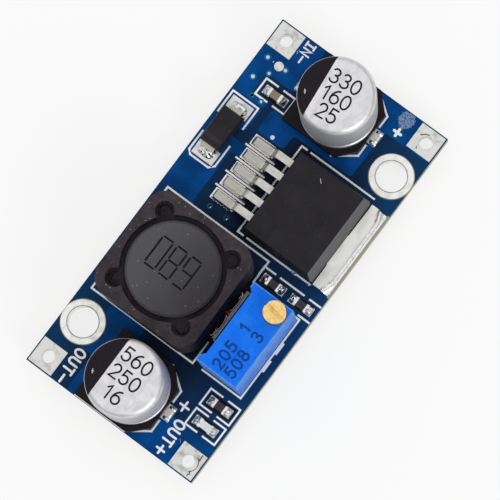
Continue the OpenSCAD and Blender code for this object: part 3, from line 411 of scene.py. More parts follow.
def brass():
    f = Finish("brass_screw", rgb(250, 214, 130), 0.4, metallic=0.85)
    turned = f.noise(0.1, 3, stretch=(6, 1, 1), seed=2)
    tone_drift = f.noise(0.5, 4, seed=5, warp=0.5)
    base = f.mix(f.span(tone_drift, 0.42, 0.76), rgb(255, 220, 142), rgb(236, 186, 102))
    f.colour(f.mix(f.span(turned, 0.48, 0.66, 0, 0.6), base, rgb(255, 238, 184)))
    f.roughness(f.span(tone_drift, 0.35, 0.7, 0.3, 0.5))
    f.bump(turned, 0.006)
    return f.material


def trimmer_plastic():
    """Glossy blue thermoset, paler along the upper edges; its +Y side wall is painted a paler blue, a painted highlight
    of the light from that side.
    """
    f = Finish("trimmer_blue", rgb(22, 112, 240), 0.36, specular=0.06)
    cloud = f.noise(1.4, 3, seed=7)
    stretched_noise = f.noise(0.16, 3, stretch=(5, 1, 5), seed=3)
    blotch = f.noise(0.35, 3, seed=12, warp=0.4)
    base = f.mix(f.span(cloud, 0.3, 0.7), rgb(10, 108, 242), rgb(30, 126, 250))
    base = f.mix(f.span(blotch, 0.6, 0.8, 0, 0.3), base, rgb(96, 160, 240))
    # Painted highlight: the +Y side wall is painted a paler blue, as the light from the +Y side falls on it
    side = f.mix(f.span(stretched_noise, 0.3, 0.7), rgb(48, 118, 222), rgb(92, 154, 240))
    side = f.mix(f.span(blotch, 0.5, 0.7, 0, 0.6), side, rgb(26, 96, 206))
    body = Box("trimmer_housing")
    near_x = f.math("ABSOLUTE", f.math("SUBTRACT", f.axis("X"), body.mid.x))
    near_y = f.math("ABSOLUTE", f.math("SUBTRACT", f.axis("Y"), body.mid.y))
    rim = f.math("MAXIMUM", f.span(near_x, body.size.x/2 - 0.16, body.size.x/2 - 0.04),
        f.span(near_y, body.size.y/2 - 0.14, body.size.y/2 - 0.03))
    rim = f.math("MULTIPLY", rim, f.span(stretched_noise, 0.3, 0.6, 0.2, 0.75))
    base = f.mix(rim, base, rgb(120, 176, 244))
    f.colour(f.mix(f.span(f.facing("Y"), 0.4, 0.9), base, side))
    f.roughness(f.span(stretched_noise, 0.3, 0.7, 0.28, 0.5))
    f.bump(f.noise(0.12, 2, seed=9), 0.004)
    f.bump(f.noise(0.8, 2, seed=2), 0.006)
    return f.material


def clear_lens():
    f = Finish("led_clear", rgb(240, 244, 240), 0.25, specular=0.3, subsurface_weight=0.2)
    f.shader.inputs["Subsurface Scale"].default_value = 0.3*MM
    f.colour(f.mix(f.span(f.noise(0.3, 2), 0.5, 0.85), rgb(250, 252, 250), rgb(176, 222, 196)))
    f.roughness(f.span(f.noise(0.15, 2, seed=3), 0.3, 0.7, 0.15, 0.35))
    f.bump(f.noise(0.2, 2, seed=5), 0.004)
    return f.material


def regulator_epoxy():
    """Black moulding compound, with a painted reflection on the bevel above the tab: paler grey there, as the light
    from the +Y side would show in it.
    """
    f = Finish("regulator_epoxy", rgb(38, 36, 39), 0.5, specular=0.1)
    fine = f.noise(0.1, 3, seed=5)
    long_noise = f.noise(0.3, 3, stretch=(3, 1, 1), seed=14)
    body = f.mix(f.span(f.noise(1.8, 3, seed=3), 0.3, 0.7), rgb(36, 34, 38), rgb(43, 41, 45))
    body = f.mix(f.span(fine, 0.5, 0.85, 0, 0.35), body, rgb(76, 74, 78))
    # Painted reflection: where the surface faces +Y, the bevel is painted paler grey
    bevel_sheen = f.math("MULTIPLY", f.span(f.facing("Y"), 0.3, 0.6), f.span(long_noise, 0.25, 0.6, 0.75, 1))
    body = f.mix(bevel_sheen, body, rgb(100, 100, 102))
    f.colour(f.mix(f.span(f.specks(0.62, seed=1.7), 0.05, 0.1, 0.12, 0), body, rgb(150, 148, 148)))
    f.roughness(f.span(fine, 0.25, 0.75, 0.42, 0.6))
    f.bump(fine, 0.006)
    f.bump(f.noise(0.9, 2, seed=15), 0.006)
    return f.material


def ground_ferrite():
    """Ground ferrite: fine grain and pale specks, with painted shade: darker towards the trimmer, as if its height
    shaded that side of the core.
    """
    f = Finish("ferrite_core", rgb(78, 76, 80), 0.5, specular=0.12)
    core = Box("choke_core")
    # Painted shade: the top of the core is painted darker towards +Y, where the tall trimmer stands
    tone_drift = f.math("ADD", f.axis("Y"), f.span(f.noise(2.5, 3, seed=2), 0, 1, -1.6, 1.6))
    fine = f.noise(0.1, 3, seed=5)
    body = f.mix(f.span(tone_drift, core.lo.y + 1.5, core.hi.y - 1), rgb(84, 83, 88), rgb(56, 54, 58))
    body = f.mix(f.span(fine, 0.5, 0.85, 0, 0.35), body, rgb(120, 118, 122))
    dust = f.span(f.specks(0.62, seed=1.7), 0.06, 0.11, 0.45, 0)
    f.colour(f.mix(dust, body, rgb(190, 186, 186)))
    f.roughness(f.span(fine, 0.25, 0.75, 0.42, 0.6))
    f.bump(fine, 0.005)
    f.bump(f.noise(0.9, 2, seed=15), 0.005)
    return f.material


FINISHES = {
    "blue_board": solder_mask("blue_board", (16, 27, 48), 0),
    "mask_over_copper": solder_mask("mask_over_copper", (0, 70, 138), 7),
    "tinned_copper": tinned("tinned_copper", (230, 230, 226), 0.42, tone_drift=0.6),
    "via_mask": solder_mask("via_mask", (30, 96, 110), 3),
    "legend_ink": legend_ink(),
    "can_aluminium": can_aluminium(),
    "can_ink": print_ink("can_ink", (32, 27, 35)),
    "base_plastic": moulded("base_plastic", (24, 20, 26), (33, 28, 35), 0.42, 0.1),
    "tinned_lead": formed_lead("tinned_lead"),
    "tab_metal": regulator_tab(),
    "epoxy_black": moulded("epoxy_black", (36, 34, 37), (43, 41, 45), 0.5, 0.1, 0.1, 0.006, specks=0.12),
    "regulator_epoxy": regulator_epoxy(),
    "silicon": moulded("silicon", (70, 72, 84), (84, 86, 98), 0.25, 0.5),
    "band_ink": print_ink("band_ink", (52, 50, 56), 0.5, 0.5),
    "ferrite_core": ground_ferrite(),
    "ferrite_shield": moulded("ferrite_shield", (46, 41, 46), (68, 61, 66), 0.55, 0.1, 0.2, 0.02, specks=0.7),
    "dull_terminal": formed_lead("dull_terminal", (160, 152, 156), 0.5),
    "copper_wire": enamelled_wire(),
    # Dark adhesive, painted darker still as the shade deep in the corner pockets
    "adhesive": moulded("adhesive", (26, 19, 28), (44, 36, 46), 0.3, 0.2, 0.4, 0.03),
    "trimmer_blue": trimmer_plastic(),
    "brass_screw": brass(),
    "seal_rubber": moulded("seal_rubber", (24, 24, 24), (34, 34, 34), 0.7, 0.3),
    "wheel_nylon": moulded("wheel_nylon", (224, 218, 200), (234, 229, 214), 0.45, 0.5),
    "contact_metal": formed_lead("contact_metal", (206, 170, 110), 0.1),
    "element_ceramic": moulded("element_ceramic", (222, 222, 216), (234, 233, 228), 0.5, 0.45),
    "potting": moulded("potting", (40, 50, 72), (52, 62, 88), 0.35, 0.5, 0.3, 0.02),
    "ceramic_tan": moulded("ceramic_tan", (132, 120, 102), (150, 139, 122), 0.4, 0.2, 0.1, 0.003),
    "resistor_black": moulded("resistor_black", (58, 54, 58), (78, 74, 80), 0.4, 0.2, 0.14, 0.01),
    "led_white": moulded("led_white", (230, 232, 230), (240, 241, 240), 0.45, 0.3),
    "led_clear": clear_lens(),
    "solder": wet_solder("solder"),
    "ring_tin": tinned("ring_tin", (250, 250, 247), 0.4, 0.35, 0.02, 0.25),
    "trimmer_ink": print_ink("trimmer_ink", (12, 66, 146), 0.4, 0.2),
    "groove_shade": print_ink("groove_shade", (24, 21, 25), 0.7, 0.1),
    "flux_and_shade": flux_and_shade(),
    "bead_tin": wet_solder("bead_tin", (196, 196, 202)),
    "bare_copper": formed_lead("bare_copper", (255, 244, 232), 0.1),
    "bare_laminate": moulded("bare_laminate", (150, 140, 116), (176, 168, 142), 0.6, 0.1),
    # Near-black: a painted dark reflection of the shiny solder lands inside the chip boxes
    "painted_dark_reflection": moulded("painted_dark_reflection", (10, 12, 24), (16, 20, 38), 0.3, 0.1),
    # Tin painted darker, as painted shade on the inner edge of each mounting ring
    "shaded_edge_tin": tinned("shaded_edge_tin", (172, 172, 170), 0.5),
    "tented_ring": print_ink("tented_ring", (24, 104, 150), 0.3, 0.4),
    "tented_dot": print_ink("tented_dot", (206, 238, 246), 0.4, 0.2),
    "pale_dust": print_ink("pale_dust", (128, 154, 192), 0.7, 0.8),
    "seam_shade": print_ink("seam_shade", (9, 7, 10), 0.7, 0.05),
    "resin_shade": moulded("resin_shade", (32, 26, 34), (50, 44, 52), 0.6, 0.1, 0.2, 0.02),
}


def dress(node, finish):
    """Gives a CAD node a finish in every one of its material slots."""
    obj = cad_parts[node]
    if not obj.material_slots:
        obj.data.materials.append(FINISHES[finish])
    for slot in obj.material_slots:
        slot.material = FINISHES[finish]


NODE_FINISH = {
    "circuit_board": "blue_board", "copper_lands": "tinned_copper", "pin_pads": "tinned_copper",
    "wire_pad_in_minus": "tinned_copper", "wire_pad_in_plus": "tinned_copper",
    "wire_pad_out_minus": "tinned_copper", "wire_pad_out_plus": "tinned_copper",
    "mounting_ring_in": "ring_tin", "mounting_ring_out": "ring_tin", "vias": "via_mask",
    "board_legend": "legend_ink", "input_can": "can_aluminium", "output_can": "can_aluminium",
    "input_can_mark": "can_ink", "output_can_mark": "can_ink", "input_can_base": "base_plastic",
    "output_can_base": "base_plastic", "input_can_leads": "tinned_lead", "output_can_leads": "tinned_lead",
    "regulator_body": "regulator_epoxy", "regulator_tab": "tab_metal", "regulator_leads": "tinned_lead",
    "regulator_die": "silicon", "diode_body": "epoxy_black", "diode_leads": "tinned_lead",
    "diode_band": "band_ink", "choke_core": "ferrite_core", "choke_winding": "copper_wire",
    "choke_shield": "ferrite_shield", "choke_base": "base_plastic", "choke_terminals": "dull_terminal",
    "choke_adhesive": "adhesive", "trimmer_housing": "trimmer_blue", "trimmer_screw": "brass_screw",
    "trimmer_seal": "seal_rubber", "trimmer_wheel": "wheel_nylon", "trimmer_wiper": "contact_metal",
    "trimmer_element": "element_ceramic", "trimmer_pins": "tinned_lead", "trimmer_potting": "potting",
    "ceramic_capacitor": "ceramic_tan", "divider_resistor_inner": "resistor_black",
    "divider_resistor_outer": "resistor_black", "led_resistor": "resistor_black", "led_base": "led_white",
    "led_lens": "led_clear", "chip_terminals": "solder", "solder_capacitors": "solder",
    "solder_regulator": "solder", "solder_diode": "solder", "solder_inductor": "solder",
    "solder_chips": "solder", "solder_trimmer": "solder",
}
for cad_node, cad_finish in NODE_FINISH.items():
    dress(cad_node, cad_finish)


# ---------------------------------------------------------------- shapes

STROKE_LIFT = 0.0012


class Shape:
    """Points in millimetres and faces, gathered before they become one mesh."""

    def __init__(self):
        self.points = []
        self.faces = []
        self.lift = 0.0

    def add(self, points, faces):
        first = len(self.points)
        self.points += [Vector(p) for p in points]
        self.faces += [[first + i for i in face] for face in faces]

    def grid(self, rows, closed=False):
        """A skin over rows of points, all of one length. A closed one joins the end of each row to its start."""
        n = len(rows[0])
        last = n if closed else n - 1
        faces = [[r*n + i, r*n + (i + 1) % n, (r + 1)*n + (i + 1) % n, (r + 1)*n + i]
            for r in range(len(rows) - 1) for i in range(last)]
        self.add([p for row in rows for p in row], faces)

    def plate(self, outlines, z0, z1):
        """A flat plate between two heights: the first outline is its edge, and the others are holes in it."""
        flat = [[Vector((p[0], p[1], 0)) for p in outline] for outline in outlines]
        count = sum(len(outline) for outline in flat)
        corners = [p for outline in flat for p in outline]
        triangles = [list(t) for t in tessellate_polygon(flat)]
        for t in triangles:
            a, b, c = (corners[i] for i in t)
            if (b - a).cross(c - a).z < 0:
                t.reverse()
        faces = [[i + count for i in t] for t in triangles] + [t[::-1] for t in triangles]
        start = 0
        for outline in flat:
            n = len(outline)
            turn = sum(a.x*b.y - b.x*a.y for a, b in zip(outline, outline[1:] + outline[:1]))
            outer = outline is flat[0]
            for i in range(n):
                a, b = start + i, start + (i + 1) % n
                side = [a, b, b + count, a + count]
                faces.append(side if (turn > 0) == outer else side[::-1])
            start += n
        self.add([(p.x, p.y, z0) for p in corners] + [(p.x, p.y, z1) for p in corners], faces)

    def stroke(self, path, width, z0, z1):
        """A printed stroke along a path of (x, y) points, with mitred corners and round ends. Each stroke lies a
        little above the one before, so that crossing strokes share no face."""
        points = [Vector(p) for p in path]
        self.lift = (self.lift + STROKE_LIFT) % (8*STROKE_LIFT)
        z1 += self.lift
        half = width/2
        normals = []
        for a, b in zip(points, points[1:]):
            d = (b - a).normalized()
            normals.append(Vector((-d.y, d.x)))
        closed = (points[0] - points[-1]).length < 1e-6
        left, right = [], []
        for i, p in enumerate(points):
            before = normals[i - 1] if i > 0 else (normals[-1] if closed else normals[0])
            after = normals[i] if i < len(normals) else (normals[0] if closed else normals[-1])
            mitre = (before + after).normalized()
            mitre *= half/max(0.5, mitre.dot(after))
            left.append(p + mitre)
            right.append(p - mitre)
        if closed:
            self.plate([left[:-1], right[:-1]] if outline_area(left) > outline_area(right)
                else [right[:-1], left[:-1]], z0, z1)
            return
        cap = 6
        end, start = normals[-1], normals[0]
        turned = [points[-1] + half*(Matrix.Rotation(-math.pi*i/cap, 2) @ end) for i in range(1, cap)]
        turned_back = [points[0] - half*(Matrix.Rotation(-math.pi*i/cap, 2) @ start) for i in range(1, cap)]
        self.plate([left + turned + right[::-1] + turned_back], z0, z1)

    def piece(self, name, finish, slot, body=BOARD, stands_for=(), smooth=None):
        mesh = bpy.data.meshes.new(name)
        mesh.from_pydata([tuple(p*MM) for p in self.points], [], self.faces)
        mesh.materials.append(FINISHES[finish])
        if smooth is not None:
            mesh.shade_smooth()
            mesh.set_sharp_from_angle(angle=math.radians(smooth))
        mesh.update()
        obj = bpy.data.objects.new(name, mesh)
        bpy.context.scene.collection.objects.link(obj)
        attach(obj, body)
        if stands_for:
            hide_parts(*stands_for)
        return obj


def outline_area(points):
    return abs(sum(a.x*b.y - b.x*a.y for a, b in zip(points, points[1:] + points[:1])))/2


def arc(cx, cy, rx, ry, a0, a1, n=14):
    """Points of an elliptical arc between two angles in degrees."""
    return [(cx + rx*math.cos(math.radians(a0 + (a1 - a0)*i/n)), cy + ry*math.sin(math.radians(a0 + (a1 - a0)*i/n)))
        for i in range(n + 1)]


def circle(cx, cy, r, n=32):
    return arc(cx, cy, r, r, 0, 360, n)[:-1]


def rounded(points, radius, n=6):
    """An outline with each corner rounded, where the sides beside it leave room."""
    out = []
    count = len(points)
    for i, p in enumerate(points):
        p = Vector(p)
        to_a = Vector(points[i - 1]) - p
        to_b = Vector(points[(i + 1) % count]) - p
        r = min(radius, to_a.length/2.2, to_b.length/2.2)
        a, b = p + to_a.normalized()*r, p + to_b.normalized()*r
        out += [tuple(a*(1 - t)**2 + p*2*t*(1 - t) + b*t*t) for t in (j/n for j in range(n + 1))]
    return out


# ---------------------------------------------------------------- lettering

# Strokes of each sign in a cell one unit high: a width, then its paths.
GLYPHS = {
    "0": (0.62, [arc(0.31, 0.5, 0.31, 0.5, 0, 360, 24)]),
    "1": (0.42, [[(0.05, 0.76), (0.3, 1), (0.3, 0)]]),
    "2": (0.6, [arc(0.3, 0.71, 0.28, 0.29, 165, -28) + [(0.02, 0), (0.6, 0)]]),
    "3": (0.6, [arc(0.28, 0.76, 0.26, 0.24, 150, -90), arc(0.28, 0.27, 0.31, 0.27, 88, -150)]),
    "5": (0.6, [[(0.55, 1), (0.1, 1), (0.05, 0.55)] + arc(0.28, 0.32, 0.31, 0.32, 125, -150)]),
    "6": (0.62, [arc(0.56, 0.33, 0.54, 0.67, 98, 180), arc(0.32, 0.31, 0.3, 0.31, 0, 360, 20)]),
    "8": (0.6, [arc(0.3, 0.76, 0.24, 0.24, 0, 360, 18), arc(0.3, 0.27, 0.3, 0.27, 0, 360, 18)]),
    "I": (0.5, [[(0.25, 0), (0.25, 1)], [(0, 1), (0.5, 1)], [(0, 0), (0.5, 0)]]),
    "N": (0.6, [[(0, 0), (0, 1), (0.6, 0), (0.6, 1)]]),
    "O": (0.66, [arc(0.33, 0.5, 0.33, 0.5, 0, 360, 20)]),
    "U": (0.58, [[(0, 1), (0, 0.32)] + arc(0.29, 0.29, 0.29, 0.29, 180, 360) + [(0.58, 1)]]),
    "T": (0.62, [[(0, 1), (0.62, 1)], [(0.31, 1), (0.31, 0)]]),
    "+": (0.8, [[(0, 0.45), (0.8, 0.45)], [(0.4, 0.05), (0.4, 0.85)]]),
    "-": (0.75, [[(0, 0.5), (0.75, 0.5)]]),
}


def write(shape, text, middle, height, width, z0, z1, turn=0.0, gap=0.2, squeeze=1.0):
    """Writes text around its middle (x, y), turned from +X by an angle in degrees, in strokes of one width."""
    total = sum(GLYPHS[c][0]*squeeze for c in text) + gap*(len(text) - 1)
    place = Matrix.Rotation(math.radians(turn), 2)
    u = -total/2
    for c in text:
        for path in GLYPHS[c][1]:
            shape.stroke([Vector(middle) + place @ Vector(((u + x*squeeze)*height, (y - 0.5)*height))
                for x, y in path], width, z0, z1)
        u += GLYPHS[c][0]*squeeze + gap


def board_lettering():
    """The signs at the four wire pads and beside the light."""
    shape = Shape()
    for text, middle, height, stroke in (
            ("IN-", (-20.3, -6.5), 0.95, 0.2), ("OUT-", (19.62, -6.42), 1.1, 0.24), ("OUT+", (19.4, 6.05), 1.1, 0.24)):
        write(shape, text, middle, height, stroke, TOP, INK_TOP, gap=0.3)
    for middle, height, stroke in (((-19.3, 6.0), 1.0, 0.3), ((16.0, 5.4), 1.3, 0.24)):
        write(shape, "+", middle, height, stroke, TOP, INK_TOP)
    shape.piece("board_lettering", "legend_ink", "legend_ink")


def can_printing():
    """Rows of figures on each can, and the dark segment that runs over the rounded edge on the negative side."""
    z = Box("input_can_mark").lo.z
    ink = 0.012
    for name, rows, turn, offsets in (
            ("input", ("330", "160", "25"), 6, (-1.6, 0.25, 2.05)),
            ("output", ("560", "250", "16"), 0, (-2.1, -0.1, 1.95))):
        can = Box(name + "_can")
        mark = Box(name + "_can_mark")
        middle = Vector((can.mid.x, can.mid.y))
        spin = Matrix.Rotation(math.radians(turn), 2)
        shape = Shape()
        for text, along in zip(rows, offsets):
            write(shape, text, middle + spin @ Vector((along, 0.12)), 1.42, 0.19, z, z + ink, 90 + turn, 0.24, 0.98)
        shape.piece(name + "_can_figures", "can_ink", "can_ink")
        can_segment(name, middle, can.size.x/2, z, turn, mark)


def can_segment(name, middle, radius, top, turn, mark):
    """The printed segment, as a thin skin that follows the flat top and then the rounded edge of the can."""
    edge_r = 0.7
    chord = 1.85
    flat_r = radius - edge_r
    rim_angle = 62
    proud = 0.014

    def skin(r, lift):
        """The point at arc length r from the axis, as a distance from the axis and a height."""
        if r <= flat_r:
            return r, top + lift
        a = (r - flat_r)/edge_r
        return flat_r + (edge_r + lift)*math.sin(a), top - edge_r + (edge_r + lift)*math.cos(a)

    reach = flat_r + edge_r*math.radians(rim_angle)
    half_angle = math.degrees(math.acos(chord/reach)) - 0.5
    columns, rows = 48, 16
    shape = Shape()
    for lift, flip in ((proud, False), (0.001, True)):
        lines = []
        for j in range(rows + 1):
            line = []
            for i in range(columns + 1):
                a = math.radians(-90 + turn - half_angle + 2*half_angle*i/columns)
                inner = chord/math.cos(a - math.radians(-90 + turn))
                r, z = skin(inner + (reach - inner)*j/rows, lift)
                line.append((middle.x + r*math.cos(a), middle.y + r*math.sin(a), z))
            lines.append(line)
        shape.grid(lines[::-1] if flip else lines)
    shape.piece(name + "_can_segment", "can_ink", "can_ink", stands_for=(name + "_can_mark",), smooth=60)
    nick = Shape()
    for x, y, r in ((1.25, -2.9, 0.11), (1.42, -2.82, 0.07), (1.1, -3.0, 0.06)):
        place = Matrix.Rotation(math.radians(turn), 2) @ Vector((x, y))
        nick.plate([circle(middle.x + place.x, middle.y + place.y, r, 12)], top, top + proud + 0.004)
    nick.piece(name + "_can_nick", "bead_tin", "can_aluminium")


def choke_figures():
    """Figures moulded into the top of the core, in thin broken lines."""
    core = Box("choke_core")
    shape = Shape()
    high, wide, step = 3.3, 1.25, 1.75
    z = core.hi.z
    cell = {
        "0": [[(0, 0.08), (0, 0.92)], [(0.1, 1), (0.9, 1)], [(1, 0.92), (1, 0.08)], [(0.9, 0), (0.1, 0)]],
        "6": [[(0.9, 1), (0.1, 1)], [(0, 0.92), (0, 0.08)], [(0.1, 0), (0.9, 0)], [(1, 0.08), (1, 0.42)],
            [(0.9, 0.5), (0.1, 0.5)]],
        "8": [[(0, 0.08), (0, 0.44)], [(0, 0.56), (0, 0.92)], [(0.1, 1), (0.9, 1)], [(1, 0.92), (1, 0.56)],
            [(1, 0.44), (1, 0.08)], [(0.9, 0), (0.1, 0)], [(0.1, 0.5), (0.9, 0.5)]],
    }
    middle = Vector((core.mid.x - 0.45, core.mid.y - 0.35))
    for k, figure in enumerate("680"):
        for path in cell[figure]:
            points = [middle + Vector(((y - 0.5)*high, -((k - 1)*step + (x - 0.5)*wide))) for x, y in path]
            shape.stroke(points, 0.2, z, z + 0.006)
    shape.piece("choke_figures", "groove_shade", "ferrite_core")


def trimmer_figures():
    """Two rows of figures on top of the trimmer, upside down to the board, with one mark before each row."""
    body = Box("trimmer_housing")
    z = body.hi.z
    shape = Shape()
    for text, mark, y in (("205", "1", 6.45), ("508", "3", 7.95)):
        write(shape, text, (9.75, y), 1.12, 0.22, z, z + 0.008, 180, 0.34)
        write(shape, mark, (6.45, y), 1.12, 0.22, z, z + 0.008, 180)
    shape.piece("trimmer_figures", "trimmer_ink", "trimmer_blue")


board_lettering()
can_printing()
choke_figures()
trimmer_figures()


# ---------------------------------------------------------------- copper under the mask

def copper_pours():
    """Broad copper areas, seen as raised and brighter fields of solder mask."""
    pad_in = Box("wire_pad_in_minus")
    edge = board.hi.x - 0.1, board.hi.y - 0.1
    x0, y0 = -edge[0], -edge[1]
    x1, y1 = edge
    wire = Vector((pad_in.mid.x, pad_in.mid.y))
    wire_hole = 0.95
    via = 0.3
    ring = Box("mounting_ring_out")
    ring_c = Vector((ring.mid.x, ring.mid.y))
    ring_r = ring.size.x/2 + 0.15
    around_ring = arc(ring_c.x, ring_c.y, ring_r, ring_r, 150, 30, 20)
    pours = [
        ([(x0, y1), (-18.55, y1), (-18.55, 4.9), (-12.75, 4.9), (-12.75, -2.35), (-10.95, -2.35), (-10.95, -5.75),
            (-13.7, -5.75), (-13.7, -4.4), (x0, -4.4)], [circle(wire.x, -wire.y, wire_hole)]),
        ([(x0, -4.9), (-16.3, -4.9), (-16.3, -8.5), (-13.95, -8.5), (-13.95, -6.55), (-13.1, -6.55), (-13.1, y0),
            (x0, y0)], [circle(wire.x, wire.y, wire_hole)] + [circle(x, y, via) for x, y in
            ((-17.6, -7.05), (-16.45, -8.3), (-15.2, -9.45), (-13.6, -8.3))]),
        ([(-12.95, -6.6), (-10.1, -6.6), (-10.1, -7.6), (-9.0, -7.6), (-9.0, -5.3), (-7.75, -5.3), (-7.75, -6.6),
            (-0.9, -6.6), (-0.9, y0), (-12.95, y0)], []),
        ([(17.5, y1), (x1, y1), (x1, 1.5), (17.5, 1.5)], [circle(-wire.x, -wire.y, wire_hole)]),
        ([(12.15, -2.6), (x1, -2.6), (x1, -5.4), (ring_c.x + ring_r*math.cos(math.radians(30)), -5.4)]
            + around_ring[::-1] + [(12.15, ring_c.y + ring_r/2)], []),
    ]
    shape = Shape()
    for outline, holes in pours:
        shape.plate([rounded(outline, 0.45)] + holes, TOP, TOP + 0.012)
    shape.piece("copper_under_mask", "mask_over_copper", "blue_board")


copper_pours()


def tented_vias():
    """Vias that the lacquer closes: a bluish ring with a pale glossy drop in the middle."""
    rings, dots = Shape(), Shape()
    for x, y, size in ((-17.65, -7.08, 0.2), (-16.42, -8.25, 0.17), (-17.7, -9.36, 0.2), (-15.2, -9.4, 0.21),
            (-13.6, -7.15, 0.15)):
        rings.plate([circle(x, y, size + 0.16)], TOP, TOP + 0.034)
        mound(dots, (x, y), (size, size), TOP + 0.03, 0.03, squareness=2, rough=0, rings=4, sides=20)
    mound(dots, (-17.65, -8.62), (0.08, 0.08), TOP, 0.03, squareness=2, rough=0, rings=4, sides=14)
    for x, y in ((-19.95, -7.25), (-20.15, -7.2), (-19.8, -7.2)):
        mound(dots, (x, y), (0.06, 0.06), TOP, 0.03, squareness=2, rough=0, rings=4, sides=12)
    rings.piece("via_rings", "tented_ring", "via_mask")
    dots.piece("via_drops", "tented_dot", "legend_ink", smooth=60)


def lacquer_marks():
    """Pale dust rubbed into the lacquer beside the positive input pad, in short strokes, and one light scratch."""
    draw = random.Random(5)
    shape = Shape()
    for _ in range(300):
        x = draw.uniform(-21.62, -19.85)
        y = draw.uniform(5.15, 6.75)
        if abs(x + 20.9)/1.25 + abs(y - 5.95)/1.1 > 1:
            continue
        turn = math.radians(draw.gauss(18, 40))
        length = draw.uniform(0.08, 0.3)
        step = Vector((math.cos(turn), math.sin(turn)))*length/2
        middle = Vector((x, y))
        shape.stroke([middle - step, middle + step], draw.uniform(0.03, 0.09), TOP + 0.01, TOP + 0.02)
    shape.stroke([(18.85, 6.95), (19.2, 7.2)], 0.06, TOP + 0.01, TOP + 0.02)
    shape.piece("lacquer_dust", "pale_dust", "legend_ink")


def pad_marks():
    """A long scratch on the positive input pad, and the torn plating above the hole of the positive output pad."""
    z = Box("wire_pad_in_plus").hi.z
    shape = Shape()
    shape.stroke([(-21.0, 8.75), (-20.85, 8.35), (-20.5, 8.0)], 0.1, z, z + 0.004)
    shape.stroke([(-19.3, 8.35), (-19.1, 8.45)], 0.08, z, z + 0.004)
    for k, (x, y) in enumerate(((18.95, 9.85), (19.2, 9.9), (19.45, 9.85), (20.95, 9.8), (21.15, 9.8), (21.35, 9.78))):
        shape.stroke([(x - 0.1, y - 0.06), (x, y + 0.05*(-1)**k), (x + 0.12, y - 0.04)], 0.09, z, z + 0.004)
    shape.stroke(arc(20.2, 8.95, 1.05, 1.1, 148, 36, 12), 0.07, z, z + 0.004)
    shape.piece("pad_scratches", "groove_shade", "tinned_copper")


def dark_fields():
    """Near-black fields inside the printed boxes of the chip parts: a painted dark reflection, as the shiny solder
    lands there show.
    """
    shape = Shape()
    for node, wide, low, high in (("led_resistor", 0.74, 1.5, 1.6), ("divider_resistor_outer", 0.6, 1.4, 1.5),
            ("divider_resistor_inner", 0.6, 1.4, 1.3), ("ceramic_capacitor", 0.72, 1.2, 1.4), ("led_base", 0.66, 1.1, 1.3)):
        part = Box(node)
        x, y = part.mid.x, part.mid.y
        corners = [(x - wide, y - low), (x + wide, y - low), (x + wide, y + high), (x - wide, y + high)]
        shape.plate([rounded(corners, 0.2)], TOP, TOP + 0.014)
    shape.piece("dark_fields", "painted_dark_reflection", "blue_board")


def hole_edges():
    """The rounded inner edge of each mounting ring, painted darker than its flat as painted shade where the edge turns
    down into the hole.
    """
    shape = Shape()
    for node in ("mounting_ring_in", "mounting_ring_out"):
        ring = Box(node)
        hole = ring.size.x/2 - RING_WIDTH
        outer = circle(ring.mid.x, ring.mid.y, hole + 0.11, 64)
        shape.plate([outer, circle(ring.mid.x, ring.mid.y, hole + 0.005, 64)], ring.hi.z, ring.hi.z + 0.005)
    shape.piece("hole_edges", "shaded_edge_tin", "tinned_copper")


def ring_borders():
    """The narrow band of bare laminate between each mounting ring and the lacquer around it."""
    shape = Shape()
    for node in ("mounting_ring_in", "mounting_ring_out"):
        ring = Box(node)
        r = ring.size.x/2
        reach = board.hi.y - 0.005 - abs(ring.mid.y)
        outer = [(ring.mid.x + x, ring.mid.y + max(-reach, min(reach, y))) for x, y in circle(0, 0, r + 0.09, 64)]
        shape.plate([outer, circle(ring.mid.x, ring.mid.y, r - 0.02, 64)], TOP, TOP + 0.016)
    shape.piece("ring_borders", "bare_laminate", "blue_board")


# ---------------------------------------------------------------- solder

def lump(x, y, z, size, seed):
    """Smooth noise from about -1 to 1."""
    return noise.noise(Vector((x/size + seed*7.3, y/size - seed*3.1, z/size + seed)))


def mound(shape, middle, half, z0, height, seed=0, squareness=3.2, lean=(0, 0), rough=0.12, rings=9, sides=36):
    """A drop of solder on a land: a dome over a rounded rectangle, with its top leaning to one side."""
    rows = []
    for j in range(rings + 1):
        t = j/rings
        row = []
        for i in range(sides):
            a = 2*math.pi*i/sides
            c, s = math.cos(a), math.sin(a)
            stretch = (abs(c)**squareness + abs(s)**squareness)**(-1/squareness)
            x = middle[0] + half[0]*(t*stretch*c + lean[0]*(1 - t*t))
            y = middle[1] + half[1]*(t*stretch*s + lean[1]*(1 - t*t))
            dome = height*max(0.0, 1 - t**2.4)**0.8
            wave = rough*height*lump(x, y, 0, 0.32, seed)*(1 - t**4)
            row.append((x, y, z0 + dome + wave))
        rows.append(row)
    shape.grid(rows[::-1], closed=True)


def solder_chips():
    """Bulging solder at both ends of each chip part, wetting its end face and covering its land."""
    shape = Shape()
    seed = 1
    for node, high in (("ceramic_capacitor", 0.45), ("divider_resistor_inner", 0.55),
            ("divider_resistor_outer", 0.55), ("led_resistor", 0.5), ("led_base", 0.42)):
        part = Box(node)
        for s in (-1, 1):
            end = part.mid.y + s*(part.size.y/2)
            grow = 1 + 0.12*math.sin(seed*2.1)
            mound(shape, (part.mid.x + 0.05*math.sin(seed), end + s*0.24), (0.5, 0.38), LAND - 0.01, high*grow,
                seed, lean=(0, -s*0.35), rough=0.5, rings=14, sides=48)
            seed += 1
    shape.piece("solder_on_chips", "solder", "solder", stands_for=("solder_chips",), smooth=80)


